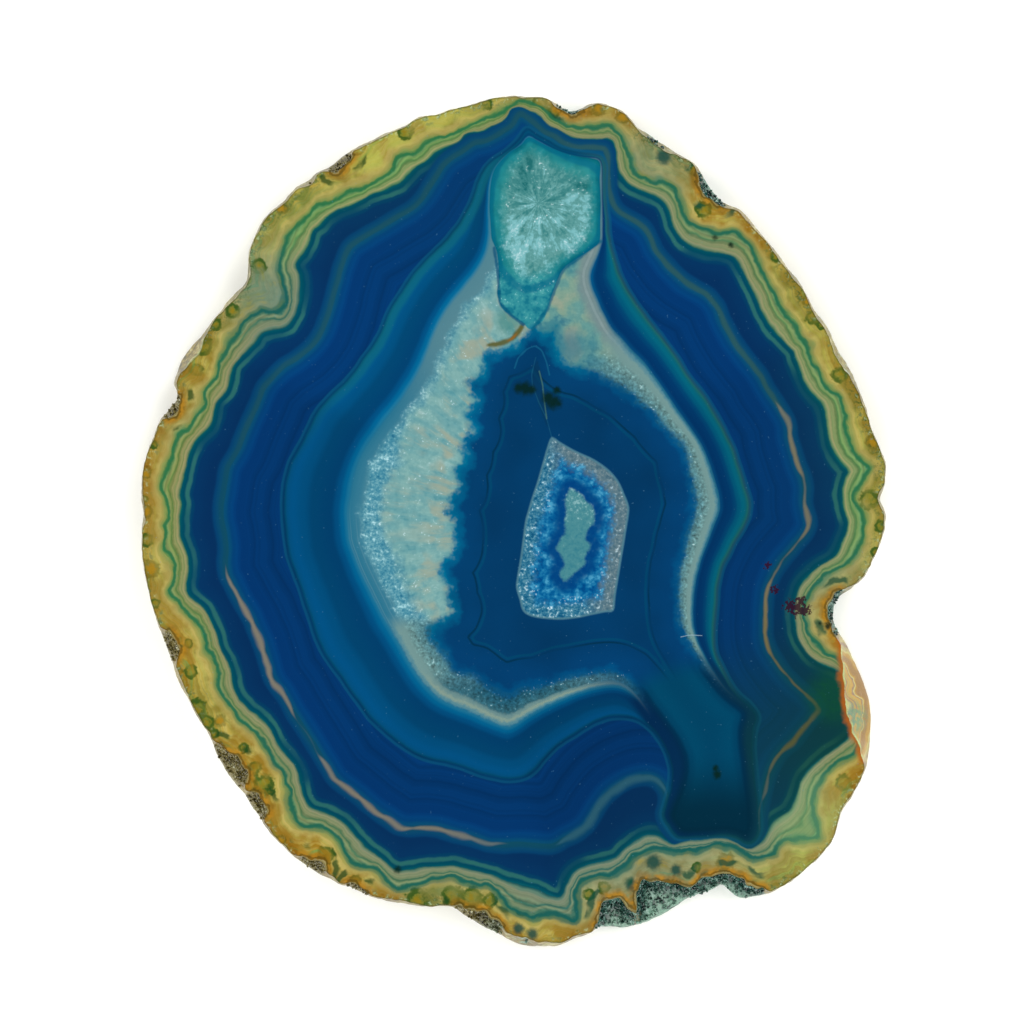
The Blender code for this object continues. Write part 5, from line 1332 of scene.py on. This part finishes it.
def inner_pocket_colours(shade, pocket, island):
    """The small pocket in the heart: a grey border of crystals, azure inside, and a grey island."""
    grains = shade.more(shade.fine, shade.speck, 0.6)
    cool = shade.ramp(grains, [
        (0.3, 14, 84, 122), (0.44, 40, 110, 142), (0.58, 80, 138, 160), (0.76, 192, 224, 234),
    ])
    grey = shade.ramp(grains, [
        (0.3, 70, 104, 120), (0.46, 88, 118, 130), (0.6, 106, 130, 138), (0.78, 166, 190, 198),
    ])
    slant = shade.scaled(shade.y, 0.25, shade.x)
    border = shade.mix(shade.step(slant, 6.0, 11.0), cool, grey)
    border = shade.mix(shade.step(pocket, 0.5, 0.15), border, (78, 124, 140))
    azure = shade.ramp(shade.more(shade.soft, shade.fine, 0.6), [
        (0.28, 0, 74, 134), (0.42, 4, 94, 150), (0.56, 26, 116, 164), (0.74, 72, 156, 194),
    ])
    reach = shade.more(pocket, shade.soft, 3.0, shade.fine, 1.4)
    colour = shade.mix(shade.step(reach, 1.3, 2.9), border, azure)
    near = shade.more(island, shade.fine, 0.6)
    colour = shade.lay(colour, (0, 64, 124), shade.step(near, -1.9, -0.6), 0.9)
    sparks = shade.times(shade.step(shade.speck, 0.6, 0.7), shade.step(shade.soft, 0.44, 0.6),
                         shade.line(pocket, 1.7, 0.9, 0.8))
    bright = shade.scaled(shade.step(shade.y, -2.0, -11.0), 0.6, 0.35)
    fewer = shade.scaled(shade.step(slant, 11.0, 6.0), 0.55, 0.45)
    colour = shade.lay(colour, (204, 232, 242), sparks, bright, fewer)
    high = shade.times(shade.step(shade.y, -3.0, 4.0), 0.2)
    lit = shade.math("ADD", shade.times(grains, 0.4), shade.scaled(high, grains, 0.3))
    grey_island = shade.ramp(lit, [
        (0.36, 50, 122, 138), (0.56, 74, 138, 146), (0.76, 150, 194, 196),
    ])
    colour = shade.mix(shade.step(near, -0.1, 0.5), colour, grey_island)
    return shade.lay(colour, (26, 88, 122), shade.step(pocket, 0.22, 0.0), 0.7)


def mark_colours(shade, colour):
    """Thin lines, cracks, dark blotches and specks inside the slice."""
    lens = shade.step(shade.field("lens"), -0.1, 0.2)
    colour = shade.lay(colour, (6, 52, 84), lens, 0.6)
    triangle = shade.times(shade.near((-0.6, 29.3), 0.8, 3.0), 0.6)
    below = shade.step(shade.field("top_pocket"), 0.1, -0.1)
    colour = shade.lay(colour, (70, 132, 122), triangle, below)
    marks = (
        ("olive_arc", 0.3, (88, 86, 28), 0.9), ("veins", 0.09, (22, 104, 138), 0.5),
        ("crack", 0.06, (30, 100, 128), 0.35), ("crack_right", 0.08, (74, 122, 110), 0.55),
        ("channel_neck", 0.22, (0, 92, 122), 0.8), ("pocket_neck", 0.2, (0, 80, 116), 0.8),
        ("scratch", 0.05, (150, 178, 190), 0.7),
    )
    for name, half, line_colour, amount in marks:
        mark = shade.step(shade.more(shade.field(name), shade.soft, half * 1.8), half * 2.0, half * 0.4)
        colour = shade.lay(colour, line_colour, mark, amount)
    ember = shade.times(shade.step(shade.field("olive_arc"), 0.3, 0.05), shade.near((-0.2, 27.0), 0.2, 1.3))
    colour = shade.lay(colour, (156, 98, 28), ember, 0.7)
    spot = shade.more(shade.field("dark_spot"), shade.fine, 1.2)
    colour = shade.lay(colour, (6, 36, 26), shade.step(spot, 1.7, 0.4), 0.92)
    spot = shade.more(shade.field("red_spot"), shade.speck, 3.4)
    colour = shade.lay(colour, (50, 12, 36), shade.step(spot, 1.2, 0.7), 0.9)
    dust = shade.step(shade.speck, 0.75, 0.82)
    return shade.lay(colour, (90, 150, 180), dust, 0.3)


def stone_colours(shade):
    """The colour of the whole slice, laid from the rim inwards."""
    green = shade.more(shade.field("green"), shade.soft, 0.6)
    teal = shade.more(shade.field("teal"), shade.soft, 0.3)
    streak = shade.field("streak")
    pale = shade.field("pale")
    quartz = shade.field("quartz")
    core = shade.field("core")
    pocket = shade.field("pocket")
    top = shade.field("top_pocket")

    colour = rim_colours(shade, green, shade.field("rim"))
    colour = eye_colours(shade, colour)
    colour = hollow_colours(shade, colour)
    colour = shade.mix(shade.step(green, 0.0, 0.4), colour, between_colours(shade, green, teal))
    line = shade.mix(shade.field("inner_grey"), (40, 112, 70), (16, 88, 88))
    colour = shade.lay(colour, line, shade.line(green, 0.05, 0.08, 0.32), 0.85)
    broad = shade.times(shade.line(green, -0.2, 0.3, 0.4), shade.field("inner_grey"), 0.7)
    colour = shade.mix(broad, colour, (22, 92, 86))
    corner = shade.times(shade.near((43.0, -42.5), 3.0, 8.5), shade.step(teal, 0.3, -0.6))
    colour = shade.lay(colour, (140, 188, 128), corner, 0.22)
    edge_line = shade.times(shade.line(shade.field("edge"), 0.0, 0.05, 0.22), 0.5)
    colour = shade.mix(edge_line, colour, (76, 70, 30))
    blue = blue_colours(shade, teal, streak, pale, quartz)
    colour = shade.mix(shade.step(teal, -0.22, 0.14), colour, blue)
    dark = shade.times(shade.near((46.8, -25.5), 1.5, 5.5), shade.scaled(shade.fine, 0.9, 0.2))
    colour = shade.mix(dark, colour, (16, 76, 50))
    burn = shade.more(shade.field("fracture"), shade.soft, 1.4)
    burn = shade.times(shade.step(burn, 1.1, 0.1), shade.step(shade.y, 0.0, -15.0))
    colour = shade.lay(colour, (176, 94, 28), burn, 0.85)
    colour = wall_colours(shade, colour, green)
    arm = shade.math("SUBTRACT", 1.0, shade.near(CHANNEL, 12.0, 20.0))
    edge = shade.times(shade.step(quartz, -0.25, 0.45), arm)
    colour = shade.mix(edge, colour, quartz_colours(shade, quartz, core))
    colour = shade.mix(shade.step(top, -0.1, 0.12), colour,
                       top_pocket_colours(shade, top, shade.field("ray_field")))
    jagged = shade.step(shade.y, -24.0, -19.0)
    ragged = shade.more(core, shade.fine, shade.times(jagged, 0.7), shade.soft, shade.times(jagged, 2.4))
    colour = shade.mix(shade.step(ragged, -0.8, 0.65), colour, core_colours(shade, core))
    colour = shade.mix(shade.step(pocket, -0.1, 0.1), colour,
                       inner_pocket_colours(shade, pocket, shade.field("island")))
    return mark_colours(shade, colour)


def polished_agate():
    """The polished faces and the skin of the slice: one stone, one material."""
    shade = StoneShade("banded_agate")
    shade.connect(stone_colours(shade), shade.shader.inputs["Base Color"])
    outside = shade.step(shade.field("edge"), 0.1, -0.15)
    rough = shade.scaled(shade.fine, 0.08, 0.07)
    rough = shade.scaled(outside, 0.26, rough)
    shade.connect(rough, shade.shader.inputs["Roughness"])
    height = shade.times(shade.fine, outside)
    shade.connect(shade.bump(height, 0.5, 0.2), shade.shader.inputs["Normal"])
    shade.shader.inputs["IOR"].default_value = QUARTZ_IOR
    return shade.material


def quartz_crust():
    """The small crystals that line the hollows of the rim."""
    shade = Shade("quartz_crust")
    speck = shade.noise(1.3, 3.0, 0.6)
    cool = shade.ramp(speck, [
        (0.34, 6, 36, 32), (0.46, 22, 70, 62), (0.56, 60, 110, 96), (0.68, 146, 186, 174),
    ])
    warm = shade.ramp(speck, [
        (0.34, 56, 50, 20), (0.46, 104, 94, 42), (0.57, 138, 128, 76), (0.7, 186, 186, 148),
    ])
    pale = shade.times(shade.step(shade.field("edge"), -0.6, -2.6), shade.step(speck, 0.4, 0.52), 0.8)
    colour = shade.mix(shade.field("to_left"), shade.mix(pale, cool, (156, 198, 174)), warm)
    shade.connect(colour, shade.shader.inputs["Base Color"])
    shade.shader.inputs["Roughness"].default_value = 0.18
    shade.shader.inputs["IOR"].default_value = QUARTZ_IOR
    return shade.material


def studio_floor():
    """A pale floor with a very faint mottling."""
    shade = Shade("studio_floor")
    colour = shade.ramp(shade.noise(90.0, 2.0), [(0.35, 253, 253, 246), (0.65, 255, 255, 249)])
    colour = shade.light(colour, FLOOR_LIGHT)
    shade.connect(colour, shade.shader.inputs["Base Color"])
    shade.shader.inputs["Roughness"].default_value = 0.9
    shade.shader.inputs["Emission Color"].default_value = (1.0, 1.0, 0.965, 1.0)
    shade.shader.inputs["Emission Strength"].default_value = FLOOR_GLOW
    bpy.ops.mesh.primitive_plane_add(size=FLOOR_SIZE, location=(0.0, 0.0, 0.0))
    floor = bpy.context.active_object
    floor.name = "studio_floor"
    floor.data.materials.append(shade.material)


def add_softbox(name, place, power):
    """A square white studio light that faces the stone."""
    lamp = bpy.data.lights.new(name, "AREA")
    lamp.size = LAMP_SIZE
    lamp.energy = power
    box = bpy.data.objects.new(name, lamp)
    box.location = place
    box.rotation_euler = (-Vector(place)).to_track_quat("-Z", "Y").to_euler()
    bpy.context.scene.collection.objects.link(box)


def light_studio():
    """Wide soft lamps on all sides, and none straight above, where the polish would mirror it."""
    add_softbox("key_light", (0.95, 0.6, 0.75), 29.0)
    add_softbox("fill_light", (-1.05, 0.3, 0.75), 21.0)
    add_softbox("front_light", (0.0, -1.1, 0.75), 21.0)
    world = bpy.data.worlds.new("studio_world")
    world.use_nodes = True
    world.node_tree.nodes["Background"].inputs["Color"].default_value = (0.9, 0.95, 1.0, 1.0)
    world.node_tree.nodes["Background"].inputs["Strength"].default_value = 0.02
    bpy.context.scene.world = world
    bpy.context.scene.view_settings.view_transform = "Standard"


def add_camera():
    """Straight above the slice, as the photograph was taken, with a long lens."""
    lens = bpy.data.cameras.new("camera")
    lens.sensor_fit = "HORIZONTAL"
    lens.sensor_width = SENSOR_WIDTH
    lens.lens = FOCAL_LENGTH
    camera = bpy.data.objects.new("camera", lens)
    camera.location = (CAMERA_OVER[0] * MM, CAMERA_OVER[1] * MM, CAMERA_HEIGHT)
    bpy.context.scene.collection.objects.link(camera)
    bpy.context.scene.camera = camera


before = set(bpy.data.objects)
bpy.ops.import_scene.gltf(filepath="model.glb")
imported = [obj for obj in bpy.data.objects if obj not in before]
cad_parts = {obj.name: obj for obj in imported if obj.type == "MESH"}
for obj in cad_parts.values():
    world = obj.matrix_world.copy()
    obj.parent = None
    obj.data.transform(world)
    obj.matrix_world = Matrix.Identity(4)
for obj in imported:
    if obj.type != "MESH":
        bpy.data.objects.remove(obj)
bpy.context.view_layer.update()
stone = build_stone()
stone_material = polished_agate()
for material in (stone_material, quartz_crust()):
    stone.data.materials.append(material)
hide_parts("agate_slice")
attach(stone, "root")
studio_floor()
light_studio()
add_camera()
